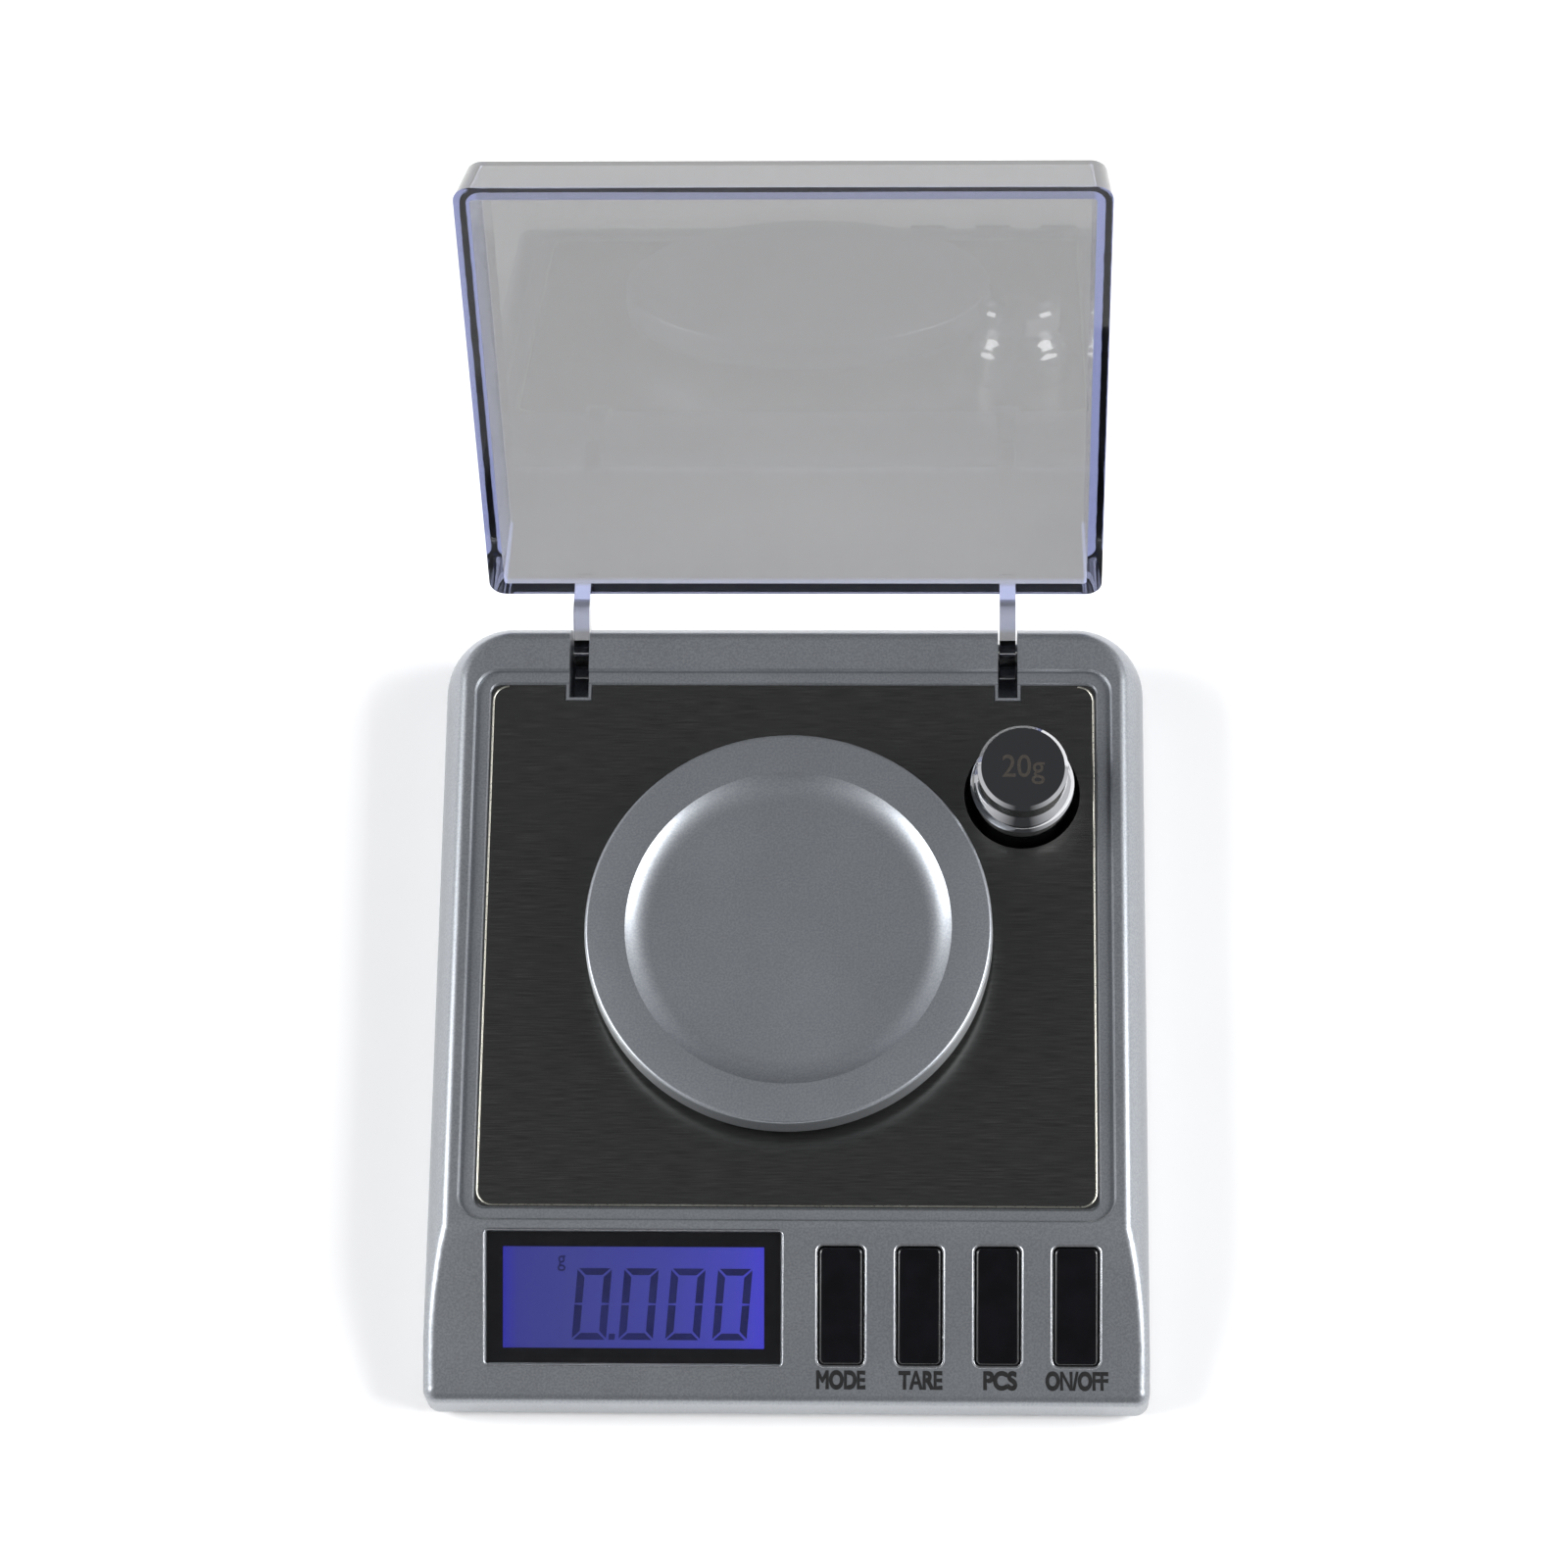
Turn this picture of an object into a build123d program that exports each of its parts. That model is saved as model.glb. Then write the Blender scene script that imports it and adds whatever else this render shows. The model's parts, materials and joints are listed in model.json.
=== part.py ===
"""Digital gram scale with a clear flip lid: every piece in its own node.

Millimetres, +Z up, standing on z = 0.  The pieces are drawn about the weighing
pan's axis and moved at the end, so that the origin is the middle of the
footprint that the scale takes with its lid open.
"""
from build123d import *
from math import asin, atan2, cos, degrees, radians, sin, tan
import os

# ---- casing ----
BASE_WIDTH = 100.4
BASE_REAR = 48.8  # foot of the rear wall, from the pan's axis
BASE_FRONT = 64.4
REAR_CORNER = 9.8
FRONT_CORNER = 2.0
SHARP_R = 0.3  # the least radius that an inner corner keeps
WALL = 2.0
FLOOR_Z = 1.2
FLOOR_T = 1.8
PARTING_Z = 4.2
SHOULDER_Z = 9.0  # the walls stand upright to here, then lean in
BODY_TOP = 16.9
WALL_LEAN = 2.9
EDGE_R = 1.8
STEP = 0.05  # how closely an edge is matched to the face it bounds

# ---- console: the sloping front that carries display and keys ----
CONSOLE_Y = -41.4
CONSOLE_SLOPE = 20.0
CONSOLE_T = 1.8

# ---- deck ----
LEDGE_WIDTH = 90.5
LEDGE_LENGTH = 80.8
LEDGE_STEP = 0.9
LEDGE_CORNER = 3.3
PLATE_WIDTH = 86.0
PLATE_LENGTH = 76.9
PLATE_T = 0.6
PLATE_CORNER = 1.3
DECK_SKIN = 1.4
FIT = 0.15  # clearance round each piece that sits in a pocket
DECK_Z = BODY_TOP - LEDGE_STEP
POCKET_Z = DECK_Z - PLATE_T
CAVITY_TOP = POCKET_Z - DECK_SKIN
FLOOR_TOP = FLOOR_Z + FLOOR_T

# ---- weighing pan and its carrier ----
PAN_R = 28.45
PAN_RISE = 7.0
PAN_SKIRT = 4.0
PAN_WALL = 1.2
PAN_FLANGE = 5.65  # flat rim round the well
WELL_SLOPE = 3.9
WELL_DEPTH = 1.2
RIM_ROUND = 0.5
DISC_INSET = 1.4
CARRIER_DISC_T = 1.5
POST_R = 5.5
POST_HOLE_R = 7.5
SEAT_GAP = 0.05
WELL_R = PAN_R - PAN_FLANGE
WELL_FLOOR_R = WELL_R - WELL_SLOPE
CARRIER_DISC_R = WELL_FLOOR_R - DISC_INSET

# ---- calibration weight ----
WEIGHT_X = 32.7
WEIGHT_Y = 22.05
WEIGHT_R = 7.3
HEAD_STEP = 0.95
NECK_STEP = 1.7
WEIGHT_HEIGHT = 18.0
WEIGHT_PROUD = 11.3
CUP_GAP = 0.9
CUP_WALL = 0.8
WEIGHT_HEAD_R = WEIGHT_R - HEAD_STEP
WEIGHT_NECK_R = WEIGHT_R - NECK_STEP
CUP_BORE_R = WEIGHT_R + CUP_GAP

# ---- lid and hinge ----
LID_WIDTH = 88.6
LID_LENGTH = 78.0
LID_HEIGHT = 14.0
LID_WALL = 2.2
LID_TOP_T = 2.0
LID_LEAN = 7.4  # how far the lid's front wall leans back over its height
LID_DRAFT = 0.35
LID_CORNER = 2.4
LID_REAR_Y = 39.3
LID_GAP = 0.1
LID_OPEN = 112.4
HINGE_INSET = 3.5  # from the rear wall's foot to the hinge pin
HINGE_Y = BASE_REAR - HINGE_INSET
HINGE_Z = 8.9
HINGE_X = 30.7
BARREL_R = 3.0
ARM_WIDTH = 2.3
PIN_R = 1.0
PIN_RUN = 0.04
SLOT_WIDTH = 2.8
SLOT_FRONT_Y = 36.6
SLOT_LIP = 0.4
CHEEK_T = 1.7
PIN_LENGTH = 5.9

# ---- display ----
WINDOW_X = -21.0
WINDOW_S = 10.05  # distances called S run down the console from its top edge
WINDOW_WIDTH = 40.8
WINDOW_LENGTH = 18.3
WINDOW_T = 1.1
VIEW_WIDTH = WINDOW_WIDTH - 4.5
VIEW_LENGTH = WINDOW_LENGTH - 4.3
GLASS_WIDTH = WINDOW_WIDTH - 1.4
GLASS_LENGTH = WINDOW_LENGTH - 1.5
GLASS_T = 1.1
LIGHT_T = 1.3
FRAME_WALL = 1.0

# ---- keys ----
KEY_X = (7.65, 18.43, 29.22, 40.0)
KEY_NAMES = ("key_mode", "key_tare", "key_count", "key_power")
KEY_S = 10.95
KEY_WIDTH = 5.9
KEY_LENGTH = 16.0
KEY_PROUD = 0.6
KEY_GAP = 0.2
KEY_FLANGE = 0.6
KEY_FLANGE_T = 0.8
KEY_TRAVEL = 0.5
SWITCH_SIZE = 6.0
SWITCH_BODY_T = 0.9

# ---- circuit board ----
BOARD_DEPTH = 4.6
BOARD_T = 1.2
BOARD_INSET = 3.8
BOARD_HALF = BASE_WIDTH / 2 - BOARD_INSET
BOARD_S0 = 0.9
BOARD_S1 = 21.6
BOARD_SCREW_X = (-44.4, 2.15, 45.0)
BOARD_SCREW_S = (4.0, 18.0)
BOARD_SCREW_R = 0.8

# ---- batteries (AAA) ----
CELL_R = 5.25
CELL_LENGTH = 43.7
CELL_NUB_R = 1.9
CELL_NUB_T = 0.8
CELL_APART = 0.5
CELL_MIDDLE_Y = -24.0
CELL_Y = (CELL_MIDDLE_Y - CELL_R - CELL_APART / 2, CELL_MIDDLE_Y + CELL_R + CELL_APART / 2)
CELL_LIFT = 0.25
CONTACT_SPACE = 2.2
CONTACT_T = 0.3
BAY_WALL = 1.2
BAY_CLEAR = 0.45
DOOR_T = 1.0
DOOR_TRAVEL = 6.0
TAB_REACH = 1.1
TAB_T = 0.5

# ---- load cell ----
BEAM_X0 = -40.0
BEAM_X1 = 9.0
BEAM_WIDTH = 12.0
BEAM_T = 6.0
BEAM_Z = 5.4
BEAM_FIXED_X = (-36.5, -29.5)
BEAM_FREE_X = (-4.2, 2.3)
GAUGE_X = (-21.5, -11.5)
SCREW_R = 1.5
STOP_X = 7.3
STOP_R = 1.2
STOP_GAP = 0.4

# ---- case screws and feet ----
BOSS_X = 42.3
BOSS_INSET = 8.2
BOSS_Y = (-37.0, BASE_REAR - BOSS_INSET)
BOSS_R = 2.9
BOSS_TOP_Z = 9.0
CASE_SCREW_R = 1.35
CASE_HEAD_R = 2.5
CASE_HEAD_T = 1.6
FOOT_X = 41.5
FOOT_Y = (-54.0, 29.5)
FOOT_R = 4.0
FOOT_SINK = 0.5

SIDES = (-1, 1)
FAR = 200.0  # larger than the whole scale, for cutting blocks


# ---- helpers ----
def box(x0, x1, y0, y1, z0, z1):
    """A block given by its lowest and highest corners."""
    return Pos((x0 + x1) / 2, (y0 + y1) / 2, (z0 + z1) / 2) * Box(x1 - x0, y1 - y0, z1 - z0)


def disc(x, y, z0, z1, r):
    """An upright cylinder between two heights."""
    return Pos(x, y, (z0 + z1) / 2) * Cylinder(r, z1 - z0)


def rounded(width, length, corner, x=0.0, y=0.0):
    """A flat rounded rectangle centred on x, y."""
    return Pos(x, y) * RectangleRounded(width, length, corner)


def slab(width, length, corner, z0, z1, x=0.0, y=0.0):
    """A rounded rectangle between two heights."""
    return Pos(0, 0, z0) * extrude(rounded(width, length, corner, x, y), z1 - z0)


def console():
    """The console's surface: local X along it, local -Y down the slope, local Z out of it."""
    lean = radians(CONSOLE_SLOPE)
    return Plane(origin=(0, CONSOLE_Y, BODY_TOP), x_dir=(1, 0, 0), z_dir=(0, -sin(lean), cos(lean)))


def on_console(shape):
    """Move a shape drawn on the XY plane (y = -S, z = -depth) onto the console."""
    return console().location * shape


def console_slab(x, s, width, length, corner, top, bottom):
    """A rounded slab under the console: centre x, s, from one depth to another."""
    return on_console(slab(width, length, corner, -bottom, -top, x, -s))


def console_pin(x, s, top, bottom, r):
    """A round pin square to the console, from one depth to another."""
    return on_console(disc(x, -s, -bottom, -top, r))


def above_console(depth):
    """Everything over the console's surface, or over a level that far beneath it."""
    return on_console(box(-FAR, FAR, -FAR, FAR, -depth, FAR))


def across(x0, x1, y, z, r):
    """A round pin that runs along X."""
    return Pos((x0 + x1) / 2, y, z) * Rot(0, 90, 0) * Cylinder(r, x1 - x0)


# ---- casing ----
def plan(inset, z, rear_r, front_r):
    """The casing's outline, drawn in by an inset, at one height."""
    width = BASE_WIDTH - 2 * inset
    length = BASE_REAR + BASE_FRONT - 2 * inset
    outline = Pos(0, (BASE_REAR - BASE_FRONT) / 2) * Rectangle(width, length)
    corners = outline.vertices().sort_by(Axis.Y)
    outline = fillet(corners[:2], front_r)
    corners = outline.vertices().sort_by(Axis.Y)[-2:]
    outline = fillet(corners, rear_r)
    return Pos(0, 0, z) * outline


def upright(inset, z0, z1):
    """The casing's outline carried straight up between two heights."""
    rear_r = REAR_CORNER - inset
    front_r = max(FRONT_CORNER - inset, SHARP_R)
    return extrude(plan(inset, z0, rear_r, front_r), z1 - z0)


def shoulder_cutter():
    """What lies outside the wall's inward curve, carried along both sides and the back."""
    rise = BODY_TOP - SHOULDER_Z
    radius = (rise**2 + WALL_LEAN**2) / (2 * WALL_LEAN)
    bend = degrees(asin(rise / radius))
    side = BASE_WIDTH / 2
    start = (-side, -FAR / 2, SHOULDER_Z)
    corners = [start, (-side, BASE_REAR, SHOULDER_Z), (side, BASE_REAR, SHOULDER_Z), (side, -FAR / 2, SHOULDER_Z)]
    path = FilletPolyline(*corners, radius=REAR_CORNER)
    section = Plane(origin=start, x_dir=(-1, 0, 0), z_dir=(0, 1, 0))
    curve = JernArc((0, 0), (0, 1), radius, bend)
    over = 1.0
    top = (curve @ 1) + Vector(0, over)
    back = Polyline(curve @ 1, top, (over, top.Y), (over, 0), (0, 0))
    return sweep(section * make_face([curve, back]), path=path)


def casing_block(inset, z0):
    """A plain hollow form: upright to the shoulder, then leaning in straight."""
    rear_r = REAR_CORNER - inset
    front_r = max(FRONT_CORNER - inset, SHARP_R)
    low = plan(inset, SHOULDER_Z, rear_r, front_r)
    high = plan(inset + WALL_LEAN, BODY_TOP, rear_r - WALL_LEAN, SHARP_R)
    return upright(inset, z0, SHOULDER_Z) + loft([low, high], ruled=True)


def top_edges(body):
    """The edges all round the top and the console, without the line between the two."""
    found = []
    for edge in body.edges():
        points = [edge @ 0, edge @ 0.5, edge @ 1]
        on_top = all(abs(p.Z - BODY_TOP) < STEP for p in points)
        on_slope = all(abs(console().to_local_coords(p).Z) < STEP for p in points)
        brow = all(abs(p.Y - CONSOLE_Y) < STEP for p in points)
        if (on_top or on_slope) and not brow:
            found.append(edge)
    return found


def casing_outside():
    """The outer form with its curving shoulder, sloping console and softened edges."""
    body = upright(0, FLOOR_Z, BODY_TOP) - shoulder_cutter()
    body -= above_console(0)
    return fillet(top_edges(body), EDGE_R)


def casing_inside(z0, top):
    """The hollow inside the walls, under the deck and under the console."""
    under_deck = box(-FAR, FAR, -FAR, FAR, z0, top)
    under_console = box(-FAR, FAR, -FAR, CONSOLE_Y + 0.9, z0, BODY_TOP)
    hollow = casing_block(WALL, z0) & (under_deck + under_console)
    return hollow - above_console(CONSOLE_T)


# ---- places worked out from the sizes above ----
CELL_Z = FLOOR_Z + DOOR_T + CELL_LIFT + CELL_R
BAY_HALF = (CELL_LENGTH + CELL_NUB_T) / 2 + CONTACT_SPACE
BAY_Y0 = CELL_Y[0] - CELL_R - BAY_CLEAR
BAY_Y1 = CELL_Y[1] + CELL_R + BAY_CLEAR
DOOR_HALF = BAY_HALF + 1.0
DOOR_Y0 = BAY_Y0 - 1.0
DOOR_Y1 = BAY_Y1 + 1.0
BEAM_TOP = BEAM_Z + BEAM_T
PAN_TOP = DECK_Z + PAN_RISE
PAN_UNDER = PAN_TOP - WELL_DEPTH - PAN_WALL
CUP_FLOOR = DECK_Z + WEIGHT_PROUD - WEIGHT_HEIGHT - SEAT_GAP
GLASS_DEPTH = CONSOLE_T + FIT
LIGHT_DEPTH = GLASS_DEPTH + GLASS_T + SEAT_GAP
KEY_FLOOR = CONSOLE_T + FIT / 2
SWITCH_TOP = BOARD_DEPTH - SWITCH_BODY_T
LID_Z = DECK_Z + LID_GAP
BOARD_EDGE_Y = -45.0
BOARD_EDGE_Z = 8.4


# ---- top shell ----
def slot_cut(side):
    """The slot that a lid arm swings in: open upwards and through the rear wall."""
    x = side * HINGE_X
    floor = HINGE_Z - BARREL_R - 2 * FIT
    return box(x - SLOT_WIDTH / 2, x + SLOT_WIDTH / 2, SLOT_FRONT_Y, FAR, floor, FAR)


def hinge_block(side):
    """The cheeks and floor round a slot, before the slot is cut."""
    x = side * HINGE_X
    half = SLOT_WIDTH / 2 + CHEEK_T
    floor = HINGE_Z - BARREL_R - 2 * FIT - CHEEK_T * 0.7
    return box(x - half, x + half, SLOT_FRONT_Y - CHEEK_T, BASE_REAR - WALL / 2, floor, POCKET_Z)


def slot_lip(side):
    """The thin raised edge of the slot that stands up through the deck plate."""
    x = side * HINGE_X
    half = SLOT_WIDTH / 2 + SLOT_LIP
    return box(x - half, x + half, SLOT_FRONT_Y - SLOT_LIP, PLATE_LENGTH / 2 + FIT, POCKET_Z, DECK_Z)


def key_opening(x, grow, bottom):
    """A keyhole in the console, as large as a key plus its gap."""
    width = KEY_WIDTH + 2 * (KEY_GAP + grow)
    length = KEY_LENGTH + 2 * (KEY_GAP + grow)
    return console_slab(x, KEY_S, width, length, 0.8 + grow, -1.0, bottom)


def bevel_ring(x, s, width, length, corner, reach):
    """A bevel cut round an opening in the console."""
    low = Pos(0, 0, -reach) * RectangleRounded(width, length, corner)
    high = Pos(0, 0, reach) * RectangleRounded(width + 4 * reach, length + 4 * reach, corner + 2 * reach)
    return on_console(Pos(x, -s) * loft([low, high], ruled=True))


def console_openings():
    """The window's seat and view, and the four keyholes with their bevels."""
    seat_w = WINDOW_WIDTH + 2 * FIT
    seat_l = WINDOW_LENGTH + 2 * FIT
    cut = console_slab(WINDOW_X, WINDOW_S, seat_w, seat_l, 0.7, -1.0, WINDOW_T + SEAT_GAP)
    cut += console_slab(WINDOW_X, WINDOW_S, VIEW_WIDTH + 1, VIEW_LENGTH + 1, 0.7, 0.0, CONSOLE_T + 1)
    cut += bevel_ring(WINDOW_X, WINDOW_S, seat_w, seat_l, 0.7, 0.3)
    for x in KEY_X:
        cut += key_opening(x, 0, CONSOLE_T + 1)
        cut += bevel_ring(x, KEY_S, KEY_WIDTH + 2 * KEY_GAP, KEY_LENGTH + 2 * KEY_GAP, 0.9, 0.35)
    return cut


def deck_recess():
    """The stepped recess that holds the lid's rim and the deck plate."""
    ledge = slab(LEDGE_WIDTH, LEDGE_LENGTH, LEDGE_CORNER, DECK_Z, BODY_TOP + 1)
    plate = slab(PLATE_WIDTH + 2 * FIT, PLATE_LENGTH + 2 * FIT, PLATE_CORNER, POCKET_Z, BODY_TOP)
    edge = loft([
        Pos(0, 0, BODY_TOP - 0.3) * rounded(LEDGE_WIDTH, LEDGE_LENGTH, LEDGE_CORNER),
        Pos(0, 0, BODY_TOP + 0.3) * rounded(LEDGE_WIDTH + 1.2, LEDGE_LENGTH + 1.2, LEDGE_CORNER + 0.6),
    ], ruled=True)
    bead = loft([
        Pos(0, 0, DECK_Z - 0.3) * rounded(PLATE_WIDTH + 2 * FIT, PLATE_LENGTH + 2 * FIT, PLATE_CORNER),
        Pos(0, 0, DECK_Z + 0.3) * rounded(PLATE_WIDTH + 2 * FIT + 1.2, PLATE_LENGTH + 2 * FIT + 1.2, PLATE_CORNER + 0.6),
    ], ruled=True)
    return ledge + plate + edge + bead


def top_bosses():
    """Screw posts under the deck, and short ones under the console for the circuit board."""
    posts = [disc(side * BOSS_X, y, BOSS_TOP_Z + SEAT_GAP, POCKET_Z, BOSS_R) for side in SIDES for y in BOSS_Y]
    for x in BOARD_SCREW_X:
        for s in BOARD_SCREW_S:
            posts.append(console_pin(x, s, CONSOLE_T - 0.5, BOARD_DEPTH, 1.45))
    return posts


def pilot_holes():
    """The holes that the case screws and the board screws cut their threads in."""
    holes = [disc(side * BOSS_X, y, 0, POCKET_Z - 1.2, CASE_SCREW_R) for side in SIDES for y in BOSS_Y]
    for x in BOARD_SCREW_X:
        for s in BOARD_SCREW_S:
            holes.append(console_pin(x, s, CONSOLE_T - 0.2, FAR / 2, BOARD_SCREW_R))
    return holes


def make_top_shell():
    """The silver upper casing with deck recess, console, hinge cheeks and screw posts."""
    outside = casing_outside()
    shell = outside - casing_inside(0, CAVITY_TOP)
    shell -= box(-FAR, FAR, -FAR, FAR, 0, PARTING_Z)
    for side in SIDES:
        shell += hinge_block(side) & outside
    for post in top_bosses():
        shell += post & outside
    shell -= deck_recess()
    for side in SIDES:
        shell += slot_lip(side)
        shell -= slot_cut(side)
        shell -= across(side * HINGE_X - PIN_LENGTH / 2, side * HINGE_X + PIN_LENGTH / 2, HINGE_Y, HINGE_Z, PIN_R + 0.02)
    shell -= console_openings()
    shell -= disc(0, 0, 0, FAR, POST_HOLE_R)
    shell -= disc(WEIGHT_X, WEIGHT_Y, 0, FAR, CUP_BORE_R + CUP_WALL + FIT)
    for hole in pilot_holes():
        shell -= hole
    return shell


# ---- bottom shell ----
def battery_bay():
    """The four low walls that hold the batteries and their contacts."""
    wall = BAY_WALL
    top = CELL_Z + CELL_R * 0.6
    outer = box(-BAY_HALF - wall, BAY_HALF + wall, BAY_Y0 - wall, BAY_Y1 + wall, FLOOR_TOP, top)
    return outer - box(-BAY_HALF, BAY_HALF, BAY_Y0, BAY_Y1, 0, FAR)


def door_seat():
    """The way through the floor for the batteries, and the recess and grooves for the door."""
    roof = FLOOR_Z + DOOR_T + SEAT_GAP
    through = box(-BAY_HALF, BAY_HALF, BAY_Y0, BAY_Y1, 0, FLOOR_TOP + 1)
    recess = box(-DOOR_HALF - FIT, DOOR_HALF + FIT, DOOR_Y0 - DOOR_TRAVEL - FIT, DOOR_Y1 + FIT, 0, roof)
    reach = DOOR_HALF + TAB_REACH + FIT
    groove = box(-reach, reach, DOOR_Y0 - DOOR_TRAVEL - FIT, DOOR_Y1 + FIT, roof - TAB_T - 2 * SEAT_GAP, roof)
    return through + recess + groove


def make_bottom_shell():
    """The lower casing: floor, lip, screw posts, battery bay and load-cell seat."""
    body = upright(0, FLOOR_Z, PARTING_Z)
    foot = [e for e in body.edges() if e.bounding_box().max.Z < FLOOR_Z + STEP]
    body = chamfer(foot, 0.9)
    body -= upright(WALL, FLOOR_TOP, FAR)
    lip = upright(WALL + FIT, FLOOR_TOP, PARTING_Z + 1.4) - upright(WALL + FIT + 1.0, 0, FAR)
    for side in SIDES:
        gap = SLOT_WIDTH / 2 + CHEEK_T + 2 * FIT
        x = side * HINGE_X
        lip -= box(x - gap, x + gap, 0, FAR, PARTING_Z - 0.5, FAR)
    body += lip
    body += battery_bay()
    body += box(BEAM_X0, BEAM_X0 + 15.0, -BEAM_WIDTH / 2 - 1, BEAM_WIDTH / 2 + 1, FLOOR_TOP, BEAM_Z)
    body += disc(STOP_X, 0, FLOOR_TOP, BEAM_Z - 1.2, 1.9)
    for side in SIDES:
        for y in BOSS_Y:
            body += disc(side * BOSS_X, y, FLOOR_TOP, BOSS_TOP_Z, BOSS_R)
            body -= disc(side * BOSS_X, y, 0, FAR, CASE_SCREW_R + FIT)
            body -= disc(side * BOSS_X, y, 0, FLOOR_Z + CASE_HEAD_T + 0.4, CASE_HEAD_R + FIT)
        for y in FOOT_Y:
            body -= disc(side * FOOT_X, y, 0, FLOOR_Z + FOOT_SINK, FOOT_R + FIT)
    body -= door_seat()
    for x in BEAM_FIXED_X:
        body -= disc(x, 0, FLOOR_Z + 0.8, FAR, SCREW_R - 0.1)
    body -= disc(STOP_X, 0, FLOOR_Z + 0.8, FAR, STOP_R)
    return body


def make_battery_door():
    """The sliding battery door, with a tab in each groove and thumb ribs."""
    top = FLOOR_Z + DOOR_T
    plate = box(-DOOR_HALF, DOOR_HALF, DOOR_Y0, DOOR_Y1, FLOOR_Z, top)
    third = (DOOR_Y1 - DOOR_Y0) / 3
    for side in SIDES:
        for step in (0, 2):
            y = DOOR_Y0 + step * third
            outer = side * (DOOR_HALF + TAB_REACH)
            inner = side * (DOOR_HALF - 1)
            plate += box(min(inner, outer), max(inner, outer), y, y + third, top - TAB_T, top)
    for rib in range(-3, 4):
        y = (DOOR_Y0 + DOOR_Y1) / 2 + rib * 1.6
        plate -= box(-7, 7, y - 0.4, y + 0.4, 0, FLOOR_Z + 0.35)
    return plate


def make_rubber_feet():
    """Four round feet pressed into shallow seats."""
    feet = []
    for side in SIDES:
        for y in FOOT_Y:
            foot = disc(side * FOOT_X, y, 0, FLOOR_Z + FOOT_SINK, FOOT_R)
            rim = [e for e in foot.edges() if e.bounding_box().max.Z < STEP]
            feet.append(fillet(rim, 0.5))
    return feet


def make_case_screws():
    """Four self-tapping screws, from under the floor into the top shell's posts."""
    screws = []
    for side in SIDES:
        for y in BOSS_Y:
            x = side * BOSS_X
            head_z = FLOOR_Z + 0.4
            head = disc(x, y, head_z, head_z + CASE_HEAD_T, CASE_HEAD_R)
            cross = box(x - 1.4, x + 1.4, y - 0.3, y + 0.3, 0, head_z + 0.8)
            cross += box(x - 0.3, x + 0.3, y - 1.4, y + 1.4, 0, head_z + 0.8)
            shank = disc(x, y, head_z + CASE_HEAD_T, BOSS_TOP_Z + 4.0, CASE_SCREW_R)
            screws.append(head + shank - cross)
    return screws


# ---- batteries and contacts ----
def cell_signs():
    """The batteries with the way that each one's positive end points."""
    return zip(CELL_Y, (1, -1))


def make_batteries():
    """Two AAA cells lying across the casing, head to tail."""
    cells = []
    for y, sign in cell_signs():
        x0 = -sign * (CELL_LENGTH + CELL_NUB_T) / 2
        x1 = x0 + sign * CELL_LENGTH
        can = across(min(x0, x1), max(x0, x1), y, CELL_Z, CELL_R)
        can = fillet(can.edges(), 0.5)
        tip = x1 + sign * CELL_NUB_T
        cells.append(can + across(min(x1 - sign, tip), max(x1 - sign, tip), y, CELL_Z, CELL_NUB_R))
    return cells


def make_contact_plates():
    """Sprung brass plates with a dimple, at the positive ends."""
    plates = []
    for y, sign in cell_signs():
        wall = sign * (BAY_HALF - SEAT_GAP)
        face = wall - sign * CONTACT_T
        tip = sign * (BAY_HALF - CONTACT_SPACE + SEAT_GAP)
        plate = box(min(wall, face), max(wall, face), y - 4, y + 4, CELL_Z - 4, CELL_Z + 4)
        plates.append(plate + across(min(tip, face), max(tip, face), y, CELL_Z, CELL_NUB_R + 0.3))
    return plates


def make_contact_springs():
    """Plates that carry a conical spring, at the negative ends: the spring as its turns."""
    springs = []
    for y, sign in cell_signs():
        wall = -sign * (BAY_HALF - SEAT_GAP)
        face = wall + sign * CONTACT_T
        spring = box(min(wall, face), max(wall, face), y - 4, y + 4, CELL_Z - 4, CELL_Z + 4)
        reach = CONTACT_SPACE - CONTACT_T - 3 * SEAT_GAP
        for turn in range(3):
            x0 = face + sign * reach * turn / 3
            x1 = face + sign * reach * (turn + 1) / 3
            radius = 3.4 - 0.6 * turn
            ring = across(min(x0, x1), max(x0, x1), y, CELL_Z, radius)
            spring += ring - across(-FAR, FAR, y, CELL_Z, radius - 1.0)
        springs.append(spring)
    return springs


# ---- load cell ----
def make_load_cell():
    """The aluminium beam with its double bore, thinned so that its free end can sink."""
    beam = box(BEAM_X0, BEAM_X1, -BEAM_WIDTH / 2, BEAM_WIDTH / 2, BEAM_Z, BEAM_TOP)
    middle = BEAM_Z + BEAM_T / 2
    for x in GAUGE_X:
        beam -= Pos(x, 0, middle) * Rot(90, 0, 0) * Cylinder(2.4, BEAM_WIDTH + 2)
    beam -= box(GAUGE_X[0], GAUGE_X[1], -BEAM_WIDTH, BEAM_WIDTH, middle - 0.6, middle + 0.6)
    for x in BEAM_FIXED_X + BEAM_FREE_X:
        beam -= disc(x, 0, 0, FAR, SCREW_R + 0.15)
    return beam


def make_strain_gauges():
    """Four foil gauges, bonded over the beam's thin places."""
    gauges = []
    for x in GAUGE_X:
        for z0, z1 in ((BEAM_TOP, BEAM_TOP + 0.2), (BEAM_Z - 0.2, BEAM_Z)):
            gauges.append(box(x - 2.5, x + 2.5, -2, 2, z0, z1))
    return gauges


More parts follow.
